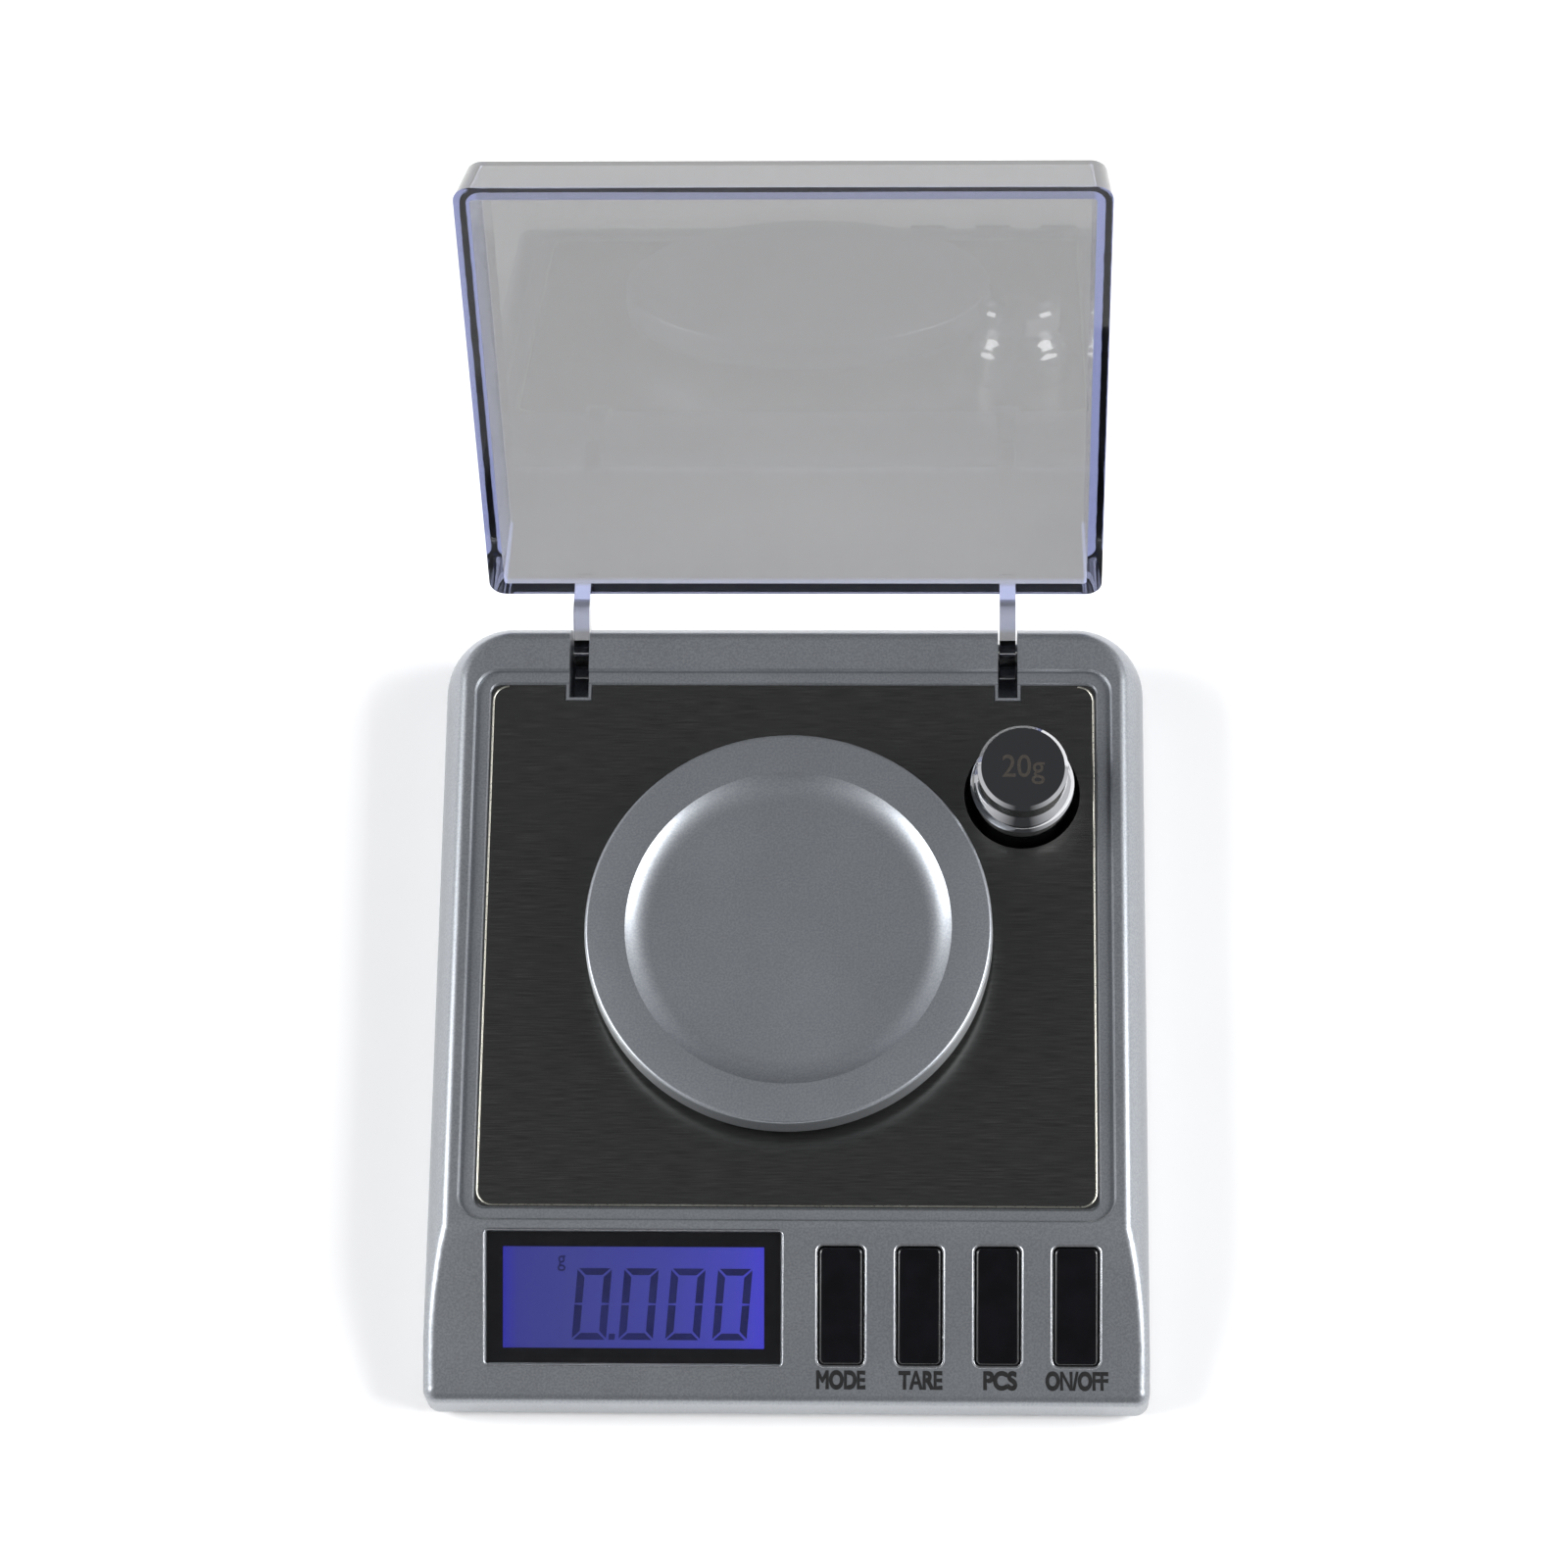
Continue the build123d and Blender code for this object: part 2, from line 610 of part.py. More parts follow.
def screw_up_or_down(x, y, head_z, tip_z, r, head_r, head_t):
    """A pan-head screw from the underside of its head to its tip, with a cross slot."""
    sign = 1 if head_z > tip_z else -1
    crown = head_z + sign * head_t
    head = disc(x, y, min(head_z, crown), max(head_z, crown), head_r)
    shank = disc(x, y, min(head_z, tip_z), max(head_z, tip_z), r)
    deep = crown - sign * head_t * 0.5
    z0, z1 = min(deep, crown + sign), max(deep, crown + sign)
    half = head_r * 0.6
    cross = box(x - half, x + half, y - 0.25, y + 0.25, z0, z1) + box(x - 0.25, x + 0.25, y - half, y + half, z0, z1)
    return head + shank - cross


def make_fixed_screws():
    """The two screws that clamp the beam to its seat."""
    return [screw_up_or_down(x, 0, BEAM_TOP, FLOOR_Z + 1.0, SCREW_R - 0.1, 2.6, 1.5) for x in BEAM_FIXED_X]


def make_free_screws():
    """The two screws that hold the pan carrier on the beam's free end."""
    return [screw_up_or_down(x, 0, BEAM_Z, BEAM_TOP + 2.6, SCREW_R - 0.1, 2.6, 1.5) for x in BEAM_FREE_X]


def make_overload_stop():
    """The set screw that the beam meets before it can bend too far."""
    stop = disc(STOP_X, 0, FLOOR_Z + 0.9, BEAM_Z - STOP_GAP, STOP_R)
    return stop - box(STOP_X - STOP_R, STOP_X + STOP_R, -0.25, 0.25, 0, FLOOR_Z + 1.5)


# ---- pan ----
def make_pan_carrier():
    """Foot on the beam, post through the deck, and the disc that the pan sits on."""
    foot = box(-6.0, 6.0, -BEAM_WIDTH / 2, BEAM_WIDTH / 2, BEAM_TOP, BEAM_TOP + 1.8)
    disc_top = PAN_UNDER - SEAT_GAP
    carrier = foot + disc(0, 0, BEAM_TOP, disc_top - 0.5, POST_R)
    carrier += disc(0, 0, disc_top - CARRIER_DISC_T, disc_top, CARRIER_DISC_R)
    for x in BEAM_FREE_X:
        carrier -= disc(x, 0, BEAM_TOP - 1, BEAM_TOP + 3.0, SCREW_R - 0.1)
    return carrier


def make_weighing_pan():
    """The shallow round pan: well, flange, skirt and the ring that centres it."""
    top, under = PAN_TOP, PAN_UNDER
    floor = top - WELL_DEPTH
    skirt = top - PAN_SKIRT
    inner = PAN_R - PAN_WALL
    radius = (WELL_SLOPE**2 + WELL_DEPTH**2) / (2 * WELL_DEPTH)
    cove = JernArc((WELL_FLOOR_R, floor), (1, 0), radius, 2 * degrees(atan2(WELL_DEPTH, WELL_SLOPE)))
    rim = JernArc((PAN_R - RIM_ROUND, top), (1, 0), RIM_ROUND, -90)
    rest = Polyline(
        rim @ 1, (PAN_R + 0.1, skirt), (inner + 0.1, skirt), (inner, top - PAN_WALL),
        (WELL_R + PAN_WALL, top - PAN_WALL), (WELL_FLOOR_R + 1.6, under), (0, under), (0, floor), cove @ 0,
    )
    profile = [cove, Line(cove @ 1, rim @ 0), rim, rest]
    pan = revolve(Plane.XZ * make_face(profile), Axis.Z)
    ring = disc(0, 0, under - 1.1, under + 0.2, CARRIER_DISC_R + 1.6) - disc(0, 0, 0, FAR, CARRIER_DISC_R + 2 * FIT)
    return pan + ring


# ---- deck ----
def make_deck_plate():
    """The brushed plate, with a hole for the post, one for the weight and a notch at each slot."""
    plate = slab(PLATE_WIDTH, PLATE_LENGTH, PLATE_CORNER, POCKET_Z + SEAT_GAP / 2, DECK_Z)
    plate -= disc(0, 0, 0, FAR, POST_HOLE_R)
    plate -= disc(WEIGHT_X, WEIGHT_Y, 0, FAR, CUP_BORE_R)
    for side in SIDES:
        x = side * HINGE_X
        half = SLOT_WIDTH / 2 + SLOT_LIP + FIT
        plate -= box(x - half, x + half, SLOT_FRONT_Y - SLOT_LIP - FIT, FAR, 0, FAR)
    return plate


def make_weight_cup():
    """The cup under the deck that the calibration weight stands in."""
    cup = disc(WEIGHT_X, WEIGHT_Y, CUP_FLOOR - 1.0, POCKET_Z, CUP_BORE_R + CUP_WALL)
    return cup - disc(WEIGHT_X, WEIGHT_Y, CUP_FLOOR, FAR, CUP_BORE_R)


def make_calibration_weight():
    """The 20 g weight: a straight body, a groove to lift it by, and a head."""
    z = CUP_FLOOR + SEAT_GAP
    top = z + WEIGHT_HEIGHT
    neck = top - 3.6
    points = [
        (0, z), (WEIGHT_R - 0.4, z), (WEIGHT_R, z + 0.4), (WEIGHT_R, neck - 3.4), (WEIGHT_R - 0.4, neck - 3.0),
        (WEIGHT_R - 0.6, neck - 2.6), (WEIGHT_R - 0.5, neck - 2.2), (WEIGHT_R - 0.8, neck - 1.9),
        (WEIGHT_NECK_R + 0.3, neck - 1.4), (WEIGHT_NECK_R, neck - 0.9), (WEIGHT_NECK_R + 0.1, neck - 0.3),
        (WEIGHT_HEAD_R - 0.3, neck), (WEIGHT_HEAD_R, neck + 0.3), (WEIGHT_HEAD_R, top - 0.5),
        (WEIGHT_HEAD_R - 0.5, top), (0, top), (0, z),
    ]
    body = revolve(Plane.XZ * make_face(Polyline(*points)), Axis.Z)
    return Pos(WEIGHT_X, WEIGHT_Y) * body


# ---- display ----
def make_display_window():
    """The black-edged window that lies in the console."""
    return console_slab(WINDOW_X, WINDOW_S, WINDOW_WIDTH, WINDOW_LENGTH, 0.5, 0.0, WINDOW_T)


def make_lcd_glass():
    """The liquid-crystal glass under the window."""
    return console_slab(WINDOW_X, WINDOW_S, GLASS_WIDTH, GLASS_LENGTH, 0.2, GLASS_DEPTH, GLASS_DEPTH + GLASS_T)


def make_lcd_backlight():
    """The light guide behind the glass."""
    bottom = LIGHT_DEPTH + LIGHT_T
    return console_slab(WINDOW_X, WINDOW_S, GLASS_WIDTH - 0.6, GLASS_LENGTH - 0.6, 0.2, LIGHT_DEPTH, bottom)


def make_lcd_frame():
    """The black frame that holds glass and light on the circuit board."""
    width = GLASS_WIDTH + 2 * FIT
    length = GLASS_LENGTH + 2 * FIT
    wall = 2 * FRAME_WALL
    bottom = BOARD_DEPTH - SEAT_GAP
    frame = console_slab(WINDOW_X, WINDOW_S, width + wall, length + wall, 1.0, GLASS_DEPTH, bottom)
    return frame - console_slab(WINDOW_X, WINDOW_S, width, length, 0.3, 0, FAR)


# ---- keys ----
def make_key(x):
    """One key: a crowned cap with a flange that stops it under the console."""
    cap = slab(KEY_WIDTH, KEY_LENGTH, 0.7, -KEY_FLOOR - KEY_FLANGE_T / 2, KEY_PROUD, x, -KEY_S)
    crown = [e for e in cap.edges() if e.bounding_box().min.Z > KEY_PROUD - STEP]
    cap = fillet(crown, 0.35)
    width = KEY_WIDTH + 2 * KEY_FLANGE
    length = KEY_LENGTH + 2 * KEY_FLANGE
    flange = slab(width, length, 0.9, -KEY_FLOOR - KEY_FLANGE_T, -KEY_FLOOR, x, -KEY_S)
    return on_console(cap + flange)


def make_key_switches():
    """A low push switch under each key, with its round button."""
    switches = []
    button_top = KEY_FLOOR + KEY_FLANGE_T + KEY_TRAVEL + SEAT_GAP
    for x in KEY_X:
        half = SWITCH_SIZE / 2
        body = on_console(box(x - half, x + half, -KEY_S - half, -KEY_S + half, -BOARD_DEPTH, -SWITCH_TOP))
        switches.append(body + console_pin(x, KEY_S, button_top, SWITCH_TOP + 0.1, 1.6))
    return switches


# ---- circuit board ----
def make_main_board():
    """The board under the console, square to the keys."""
    top, bottom = BOARD_DEPTH + SEAT_GAP / 2, BOARD_DEPTH + BOARD_T
    board = on_console(box(-BOARD_HALF, BOARD_HALF, -BOARD_S1, -BOARD_S0, -bottom, -top))
    for x in BOARD_SCREW_X:
        for s in BOARD_SCREW_S:
            board -= console_pin(x, s, 0, FAR, BOARD_SCREW_R + FIT)
    return board


def make_board_screws():
    """Six small screws from under the board."""
    screws = []
    bottom = BOARD_DEPTH + BOARD_T
    for x in BOARD_SCREW_X:
        for s in BOARD_SCREW_S:
            head = console_pin(x, s, bottom, bottom + 0.8, 1.5)
            slot = on_console(box(x - 1, x + 1, -s - 0.2, -s + 0.2, -FAR, -bottom - 0.4))
            screws.append(head + console_pin(x, s, CONSOLE_T, bottom, BOARD_SCREW_R) - slot)
    return screws


def make_board_chips():
    """The chips under the board: controller, converter, memory and clock crystal."""
    bottom = BOARD_DEPTH + BOARD_T
    places = ((-12.0, 9.5, 9.0, 9.0, 1.2), (12.5, 8.0, 5.0, 6.0, 1.2), (22.0, 8.0, 4.0, 5.0, 1.0), (31.0, 8.5, 2.0, 6.0, 1.6))
    chips = []
    for x, s, width, length, height in places:
        block = box(x - width / 2, x + width / 2, -s - length / 2, -s + length / 2, -bottom - height, -bottom)
        chips.append(on_console(block))
    return chips


# ---- wires ----
def wire(points, r):
    """A wire of straight runs and wide arcs through hand-chosen points."""
    radii = []
    for a, b, c in zip(points, points[1:], points[2:]):
        before, after = Vector(*b) - Vector(*a), Vector(*c) - Vector(*b)
        turn = radians(before.get_angle(after))
        radii.append(0.45 * min(before.length, after.length) / tan(turn / 2))
    path = FilletPolyline(*points, radius=radii)
    start = Plane(origin=path @ 0, z_dir=path % 0)
    return sweep(start * Circle(r), path=path)


def make_load_cell_wires():
    """Four signal wires from the beam's fixed end to the circuit board."""
    wires = []
    for lane in range(4):
        x = -34.4 - 1.1 * lane
        z = BEAM_TOP - 1.0
        route = [(x, -BEAM_WIDTH / 2 - 0.1, z), (x, -14.0, z - 0.6), (x, -24.0, z - 0.3), (x, -34.0, z - 1.3)]
        route.append((x, BOARD_EDGE_Y, BOARD_EDGE_Z))
        wires.append(wire(route, 0.45))
    return wires


def make_battery_wires():
    """Two supply wires from the battery contacts, over the bay wall, to the board."""
    wires = []
    for lane, side in enumerate(SIDES):
        x = side * (BAY_HALF + BAY_WALL + 1.2)
        y = CELL_Y[0]
        route = [(x, y + 3.0, CELL_Z + 1.0), (x, y - 2.5, CELL_Z + 1.2), (x, y - 7.0, CELL_Z + 0.9)]
        route.append((x, BOARD_EDGE_Y, BOARD_EDGE_Z))
        wires.append(wire(route, 0.6))
    return wires


# ---- lid ----
def lid_form(inset, z0, z1):
    """The lid's closed form: upright sides and back, and a front wall that leans back."""
    rise = (z1 - z0) / LID_HEIGHT
    width = LID_WIDTH - 2 * inset
    rear = LID_REAR_Y - inset
    front = LID_REAR_Y - LID_LENGTH + inset
    corner = max(LID_CORNER - inset, 0.5)
    draft = LID_DRAFT * rise
    low = rounded(width, rear - front, corner, 0, (rear + front) / 2)
    rear_top, front_top = rear - draft, front + LID_LEAN * rise
    high = rounded(width - 2 * draft, rear_top - front_top, corner, 0, (rear_top + front_top) / 2)
    return loft([Pos(0, 0, z0) * low, Pos(0, 0, z1) * high], ruled=True)


def lid_arm(side):
    """The hooked arm from the lid's back wall down to the hinge pin."""
    x = side * HINGE_X
    back, front = LID_REAR_Y, LID_REAR_Y - LID_WALL
    hook = [
        (front, LID_Z + 3.0), (back, LID_Z + 3.0), (back, LID_Z - 2.0), (HINGE_Y - 1.6, HINGE_Z + BARREL_R * 0.84),
        (HINGE_Y, HINGE_Z), (HINGE_Y - 1.6, HINGE_Z - BARREL_R * 0.84), (front, LID_Z - 5.4), (front, LID_Z + 3.0),
    ]
    blade = extrude(Plane.YZ * make_face(Polyline(*hook)), ARM_WIDTH / 2, both=True)
    rounds = [e for e in blade.edges() if abs((e @ 0.5).Y - front) < STEP and abs((e @ 0.5).Z - LID_Z + 5.4) < STEP]
    blade = Pos(x, 0, 0) * fillet(rounds, 2.0)
    blade += across(x - ARM_WIDTH / 2, x + ARM_WIDTH / 2, HINGE_Y, HINGE_Z, BARREL_R)
    return blade - across(x - ARM_WIDTH, x + ARM_WIDTH, HINGE_Y, HINGE_Z, PIN_R + PIN_RUN)


def make_lid():
    """The clear lid with both arms, swung open about the hinge."""
    outer = lid_form(0, LID_Z, LID_Z + LID_HEIGHT)
    crown = [e for e in outer.edges() if e.bounding_box().min.Z > LID_Z + LID_HEIGHT - STEP]
    outer = fillet(crown, 1.0)
    inner = lid_form(LID_WALL, LID_Z, LID_Z + LID_HEIGHT) & box(-FAR, FAR, -FAR, FAR, 0, LID_Z + LID_HEIGHT - LID_TOP_T)
    inner += slab(LID_WIDTH - 2 * LID_WALL, LID_LENGTH - 2 * LID_WALL, 0.5, LID_Z - 1, LID_Z, 0, LID_REAR_Y - LID_LENGTH / 2)
    lid = outer - inner
    for side in SIDES:
        lid += lid_arm(side)
    hinge = Pos(0, HINGE_Y, HINGE_Z)
    return hinge * Rot(-LID_OPEN, 0, 0) * hinge.inverse() * lid


def make_hinge_pin(side):
    """A plain steel pin through both cheeks and the arm."""
    x = side * HINGE_X
    pin = across(x - PIN_LENGTH / 2, x + PIN_LENGTH / 2, HINGE_Y, HINGE_Z, PIN_R)
    return chamfer(pin.edges().filter_by(GeomType.CIRCLE), 0.2)


# ---- every node, moved to the shared origin and written ----
NODES = {
    "top_shell": make_top_shell(),
    "bottom_shell": make_bottom_shell(),
    "battery_door": make_battery_door(),
    "rubber_feet": make_rubber_feet(),
    "case_screws": make_case_screws(),
    "batteries": make_batteries(),
    "contact_plates": make_contact_plates(),
    "contact_springs": make_contact_springs(),
    "load_cell": make_load_cell(),
    "strain_gauges": make_strain_gauges(),
    "load_cell_fixed_screws": make_fixed_screws(),
    "load_cell_free_screws": make_free_screws(),
    "overload_stop": make_overload_stop(),
    "pan_carrier": make_pan_carrier(),
    "weighing_pan": make_weighing_pan(),
    "deck_plate": make_deck_plate(),
    "weight_cup": make_weight_cup(),
    "calibration_weight": make_calibration_weight(),
    "display_window": make_display_window(),
    "lcd_glass": make_lcd_glass(),
    "lcd_backlight": make_lcd_backlight(),
    "lcd_frame": make_lcd_frame(),
    "key_switches": make_key_switches(),
    "main_board": make_main_board(),
    "board_screws": make_board_screws(),
    "board_chips": make_board_chips(),
    "load_cell_wires": make_load_cell_wires(),
    "battery_wires": make_battery_wires(),
    "lid": make_lid(),
    "hinge_pin_left": make_hinge_pin(-1),
    "hinge_pin_right": make_hinge_pin(1),
}
for key_name, key_x in zip(KEY_NAMES, KEY_X):
    NODES[key_name] = make_key(key_x)

lid_back = NODES["lid"].bounding_box().max.Y
to_origin = Pos(0, (BASE_FRONT - lid_back) / 2)

os.makedirs("parts", exist_ok=True)
for name, shape in NODES.items():
    solids = shape if isinstance(shape, list) else shape.solids()
    placed = [to_origin * solid for solid in solids]
    export_step(placed[0] if len(placed) == 1 else Compound(children=placed), f"parts/{name}.step")
print("origin lies", round((lid_back - BASE_FRONT) / 2, 3), "mm behind the pan's axis")
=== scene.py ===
# %% [markdown]
# # A digital gram scale, finished in Blender
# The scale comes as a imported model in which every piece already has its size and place.
# These cells give each piece the finish of the real one and add what is printed, lit or engraved:
# the digits of the display, the black border of its window, the key words and the mark on the weight.
# Sizes are in metres. Small sizes are written in millimetres and turned by one constant.

# %% Load the frame
import json
from math import atan2, copysign, cos, degrees, pi, radians, sin

import bmesh
import bpy
from mathutils import Matrix, Vector

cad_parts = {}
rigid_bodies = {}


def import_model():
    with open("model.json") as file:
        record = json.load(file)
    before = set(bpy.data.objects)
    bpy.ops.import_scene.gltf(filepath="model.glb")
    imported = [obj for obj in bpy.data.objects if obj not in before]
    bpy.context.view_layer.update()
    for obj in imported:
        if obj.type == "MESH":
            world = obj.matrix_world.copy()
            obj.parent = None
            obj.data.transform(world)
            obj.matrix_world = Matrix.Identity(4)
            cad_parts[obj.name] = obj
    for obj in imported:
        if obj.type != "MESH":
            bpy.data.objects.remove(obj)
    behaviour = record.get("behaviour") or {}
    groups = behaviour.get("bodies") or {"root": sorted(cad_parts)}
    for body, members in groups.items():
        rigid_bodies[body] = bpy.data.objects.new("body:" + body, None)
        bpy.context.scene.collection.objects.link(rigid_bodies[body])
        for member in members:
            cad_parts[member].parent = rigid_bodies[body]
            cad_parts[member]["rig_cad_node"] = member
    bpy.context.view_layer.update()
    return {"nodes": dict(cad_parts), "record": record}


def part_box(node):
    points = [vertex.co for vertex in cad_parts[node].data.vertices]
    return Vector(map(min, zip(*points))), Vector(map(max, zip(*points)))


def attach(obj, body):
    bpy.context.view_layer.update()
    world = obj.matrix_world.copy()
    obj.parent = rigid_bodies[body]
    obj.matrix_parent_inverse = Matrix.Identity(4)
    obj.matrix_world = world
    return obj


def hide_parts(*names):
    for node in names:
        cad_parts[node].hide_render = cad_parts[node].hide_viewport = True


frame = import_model()
MM = 0.001
nodes = frame["nodes"]
print("nodes in the frame:", len(nodes))

# %% [markdown]
# ## Helpers
# A finish is a small tree of shader nodes. One function adds a node with its settings and links, and one
# turns the hex colours that a paint chart gives into the linear colours that the shader wants.


# %% Colour and node helpers
def colour(hex_value):
    """An sRGB hex colour such as "7a7d82" as linear RGBA."""
    channels = [int(hex_value[i:i + 2], 16) / 255 for i in (0, 2, 4)]
    linear = [c / 12.92 if c <= 0.04045 else ((c + 0.055) / 1.055) ** 2.4 for c in channels]
    return (*linear, 1.0)


def add(tree, kind, inputs=None, **settings):
    """Adds a shader node. An input is a value or another node's output socket."""
    node = tree.nodes.new(kind)
    for name, value in settings.items():
        setattr(node, name, value)
    for name, value in (inputs or {}).items():
        if isinstance(value, bpy.types.NodeSocket):
            tree.links.new(value, node.inputs[name])
        else:
            node.inputs[name].default_value = value
    return node


def start_material(name):
    """A named material with a Principled shader: its tree, its shader and a place to read positions from."""
    material = bpy.data.materials.new(name)
    material.use_nodes = True
    tree = material.node_tree
    shader = tree.nodes["Principled BSDF"]
    place = add(tree, "ShaderNodeTexCoord").outputs["Object"]
    return material, tree, shader, place


def set_shader(shader, **values):
    """Sets constants straight on the shader's sockets: underscores in a name stand for spaces."""
    for name, value in values.items():
        shader.inputs[name.replace("_", " ")].default_value = value


def per_size(millimetres):
    """The texture scale that makes one feature this many millimetres across."""
    return 1 / (millimetres * MM)


def finish_with(material, *names):
    """Gives CAD nodes or new pieces a material."""
    for name in names:
        thing = nodes.get(name) or bpy.data.objects[name]
        thing.data.materials.clear()
        thing.data.materials.append(material)
    print(material.name, "on", ", ".join(names))


def mottle(tree, place, size_mm, low_hex, high_hex, low=0.35, high=0.65, detail=2.0):
    """A noise that wanders between two colours."""
    noise = add(tree, "ShaderNodeTexNoise", {"Vector": place, "Scale": per_size(size_mm), "Detail": detail})
    ramp = add(tree, "ShaderNodeValToRGB", {"Fac": noise.outputs["Fac"]})
    ramp.color_ramp.elements[0].position = low
    ramp.color_ramp.elements[0].color = colour(low_hex)
    ramp.color_ramp.elements[1].position = high
    ramp.color_ramp.elements[1].color = colour(high_hex)
    return noise.outputs["Fac"], ramp.outputs["Color"]


def rough_between(tree, value, low, high):
    """Roughness that follows a pattern between two limits."""
    spread = add(tree, "ShaderNodeMapRange", {"Value": value, "To Min": low, "To Max": high})
    return spread.outputs["Result"]


def bumped(tree, shader, height, depth_mm, strength=1.0):
    """Raises the surface by a pattern."""
    bump = add(tree, "ShaderNodeBump", {"Height": height, "Distance": depth_mm * MM, "Strength": strength})
    tree.links.new(bump.outputs["Normal"], shader.inputs["Normal"])


# %% [markdown]
# ## Smooth rounds
# The frame's meshes are loose triangles, so a round wall shows its facets in a mirror. A copy whose
# corners are merged can be shaded smooth wherever two faces meet at a small angle, and it then stands
# in for the original. Its shape stays exactly the same.


# %% Smooth stand-ins
def smooth_stand_in(name, angle=32):
    """A merged, smooth-shaded copy of a CAD node that is shown in its place."""
    original = nodes[name]
    bpy.ops.object.select_all(action="DESELECT")
    original.select_set(True)
    bpy.context.view_layer.objects.active = original
    bpy.ops.object.duplicate()
    copy = bpy.context.object
    copy.name = f"{name}_smooth"
    copy.data.name = copy.name
    del copy["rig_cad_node"]
    bpy.ops.mesh.customdata_custom_splitnormals_clear()
    bpy.ops.object.mode_set(mode="EDIT")
    bpy.ops.mesh.select_all(action="SELECT")
    bpy.ops.mesh.remove_doubles(threshold=1e-6)
    bpy.ops.object.mode_set(mode="OBJECT")
    bpy.ops.object.shade_smooth_by_angle(angle=radians(angle))
    even = copy.modifiers.new("even", "WEIGHTED_NORMAL")
    even.keep_sharp = True
    bpy.ops.object.modifier_apply(modifier="even")
    body = next(b for b, members in frame["record"]["behaviour"]["bodies"].items() if name in members)
    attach(copy, body)
    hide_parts(name)
    nodes[name] = copy
    return copy


KEYS = ("key_mode", "key_tare", "key_count", "key_power")
ROUND = ("top_shell", "bottom_shell", "weight_cup", "lid", "rubber_feet", *KEYS)
for name in ROUND:
    smooth_stand_in(name)
print("smooth stand-ins:", len(ROUND))

# %% [markdown]
# ## Making new pieces
# Each new piece starts as a primitive. It is shaped in edit mode, and its place is baked into its mesh at
# the end, so that its object sits at the origin like every other.

# %% Modelling helpers
def fresh():
    """Nothing selected, so the next operator touches only the new piece."""
    bpy.ops.object.select_all(action="DESELECT")


def settle(name, matrix, body="casing"):
    """Names the active piece, bakes its place into its mesh and lets it ride on a body."""
    piece = bpy.context.object
    piece.name = name
    piece.data.name = name
    piece.data.transform(matrix @ piece.matrix_world)
    piece.matrix_world = Matrix.Identity(4)
    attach(piece, body)
    return piece


def join_as(name, pieces):
    """Joins finished pieces into one."""
    fresh()
    for piece in pieces:
        piece.select_set(True)
    bpy.context.view_layer.objects.active = pieces[0]
    bpy.ops.object.join()
    joined = bpy.context.object
    joined.name = name
    joined.data.name = name
    print(name, "has", len(joined.data.polygons), "faces")
    return joined


# %% [markdown]
# ## Turned pieces
# The pan is spun from a profile, and the weight is turned on a lathe, so both are made the way a lathe
# works: half of the section is drawn beside the axis and swept once round it. Close steps keep the
# mirror-like walls free of facets.

# %% Lathe
SPIN_STEPS = 160


def lathe(name, profile, centre, body, angle):
    """Turns a closed half section, listed as radius and height, about an upright axis."""
    fresh()
    bpy.ops.mesh.primitive_circle_add(vertices=len(profile), radius=1, location=(0, 0, 0))
    turned = bpy.context.object
    bpy.ops.object.mode_set(mode="EDIT")
    edit = bmesh.from_edit_mesh(turned.data)
    edit.verts.ensure_lookup_table()
    for vertex, (radius, height) in zip(edit.verts, profile):
        vertex.co = (radius, 0, height)
    bmesh.update_edit_mesh(turned.data)
    bpy.ops.mesh.select_all(action="SELECT")
    bpy.ops.mesh.spin(steps=SPIN_STEPS, angle=2 * pi, center=(0, 0, 0), axis=(0, 0, 1))
    bpy.ops.mesh.select_all(action="SELECT")
    bpy.ops.mesh.remove_doubles(threshold=1e-6)
    bpy.ops.mesh.dissolve_degenerate(threshold=1e-7)
    bpy.ops.mesh.select_all(action="SELECT")
    bpy.ops.mesh.normals_make_consistent(inside=False)
    bpy.ops.object.mode_set(mode="OBJECT")
    bpy.ops.object.shade_smooth_by_angle(angle=radians(angle))
    print(name, "has", len(turned.data.polygons), "faces")
    return settle(name, Matrix.Translation(centre), body)


def arc(centre, radius, start, end, steps):
    """Points on a circle between two angles in degrees."""
    turns = [radians(start + (end - start) * step / steps) for step in range(steps + 1)]
    return [(centre[0] + radius * cos(t), centre[1] + radius * sin(t)) for t in turns]


def in_metres(profile):
    return [(r * MM, z * MM) for r, z in profile]


# %% Pan
pan_low, pan_high = (Vector(corner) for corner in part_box("weighing_pan"))
pan_axis = Vector(((pan_low.x + pan_high.x) / 2, (pan_low.y + pan_high.y) / 2, 0))
PAN_TOP = pan_high.z / MM
PAN_R, WELL_R, WELL_FLOOR_R, WELL_DEPTH, WALL = 28.45, 22.8, 18.9, 1.2, 1.2
RIM_ROUND = 0.5
SKIRT_DROP, SKIRT_FLARE = 4, 0.1
RING_IN, RING_OUT, RING_DROP = 17.8, 19.1, 1.1
UNDER_COVE = 1.6
cove_r = ((WELL_R - WELL_FLOOR_R) ** 2 + WELL_DEPTH**2) / (2 * WELL_DEPTH)
cove_angle = degrees(2 * atan2(WELL_DEPTH, WELL_R - WELL_FLOOR_R))
floor_z = PAN_TOP - WELL_DEPTH
under_z = floor_z - WALL
pan_profile = [(0, floor_z)]
pan_profile += arc((WELL_FLOOR_R, floor_z + cove_r), cove_r, -90, -90 + cove_angle, 14)
pan_profile += arc((PAN_R - RIM_ROUND, PAN_TOP - RIM_ROUND), RIM_ROUND, 90, 0, 6)
skirt_r, skirt_z = PAN_R + SKIRT_FLARE, PAN_TOP - SKIRT_DROP
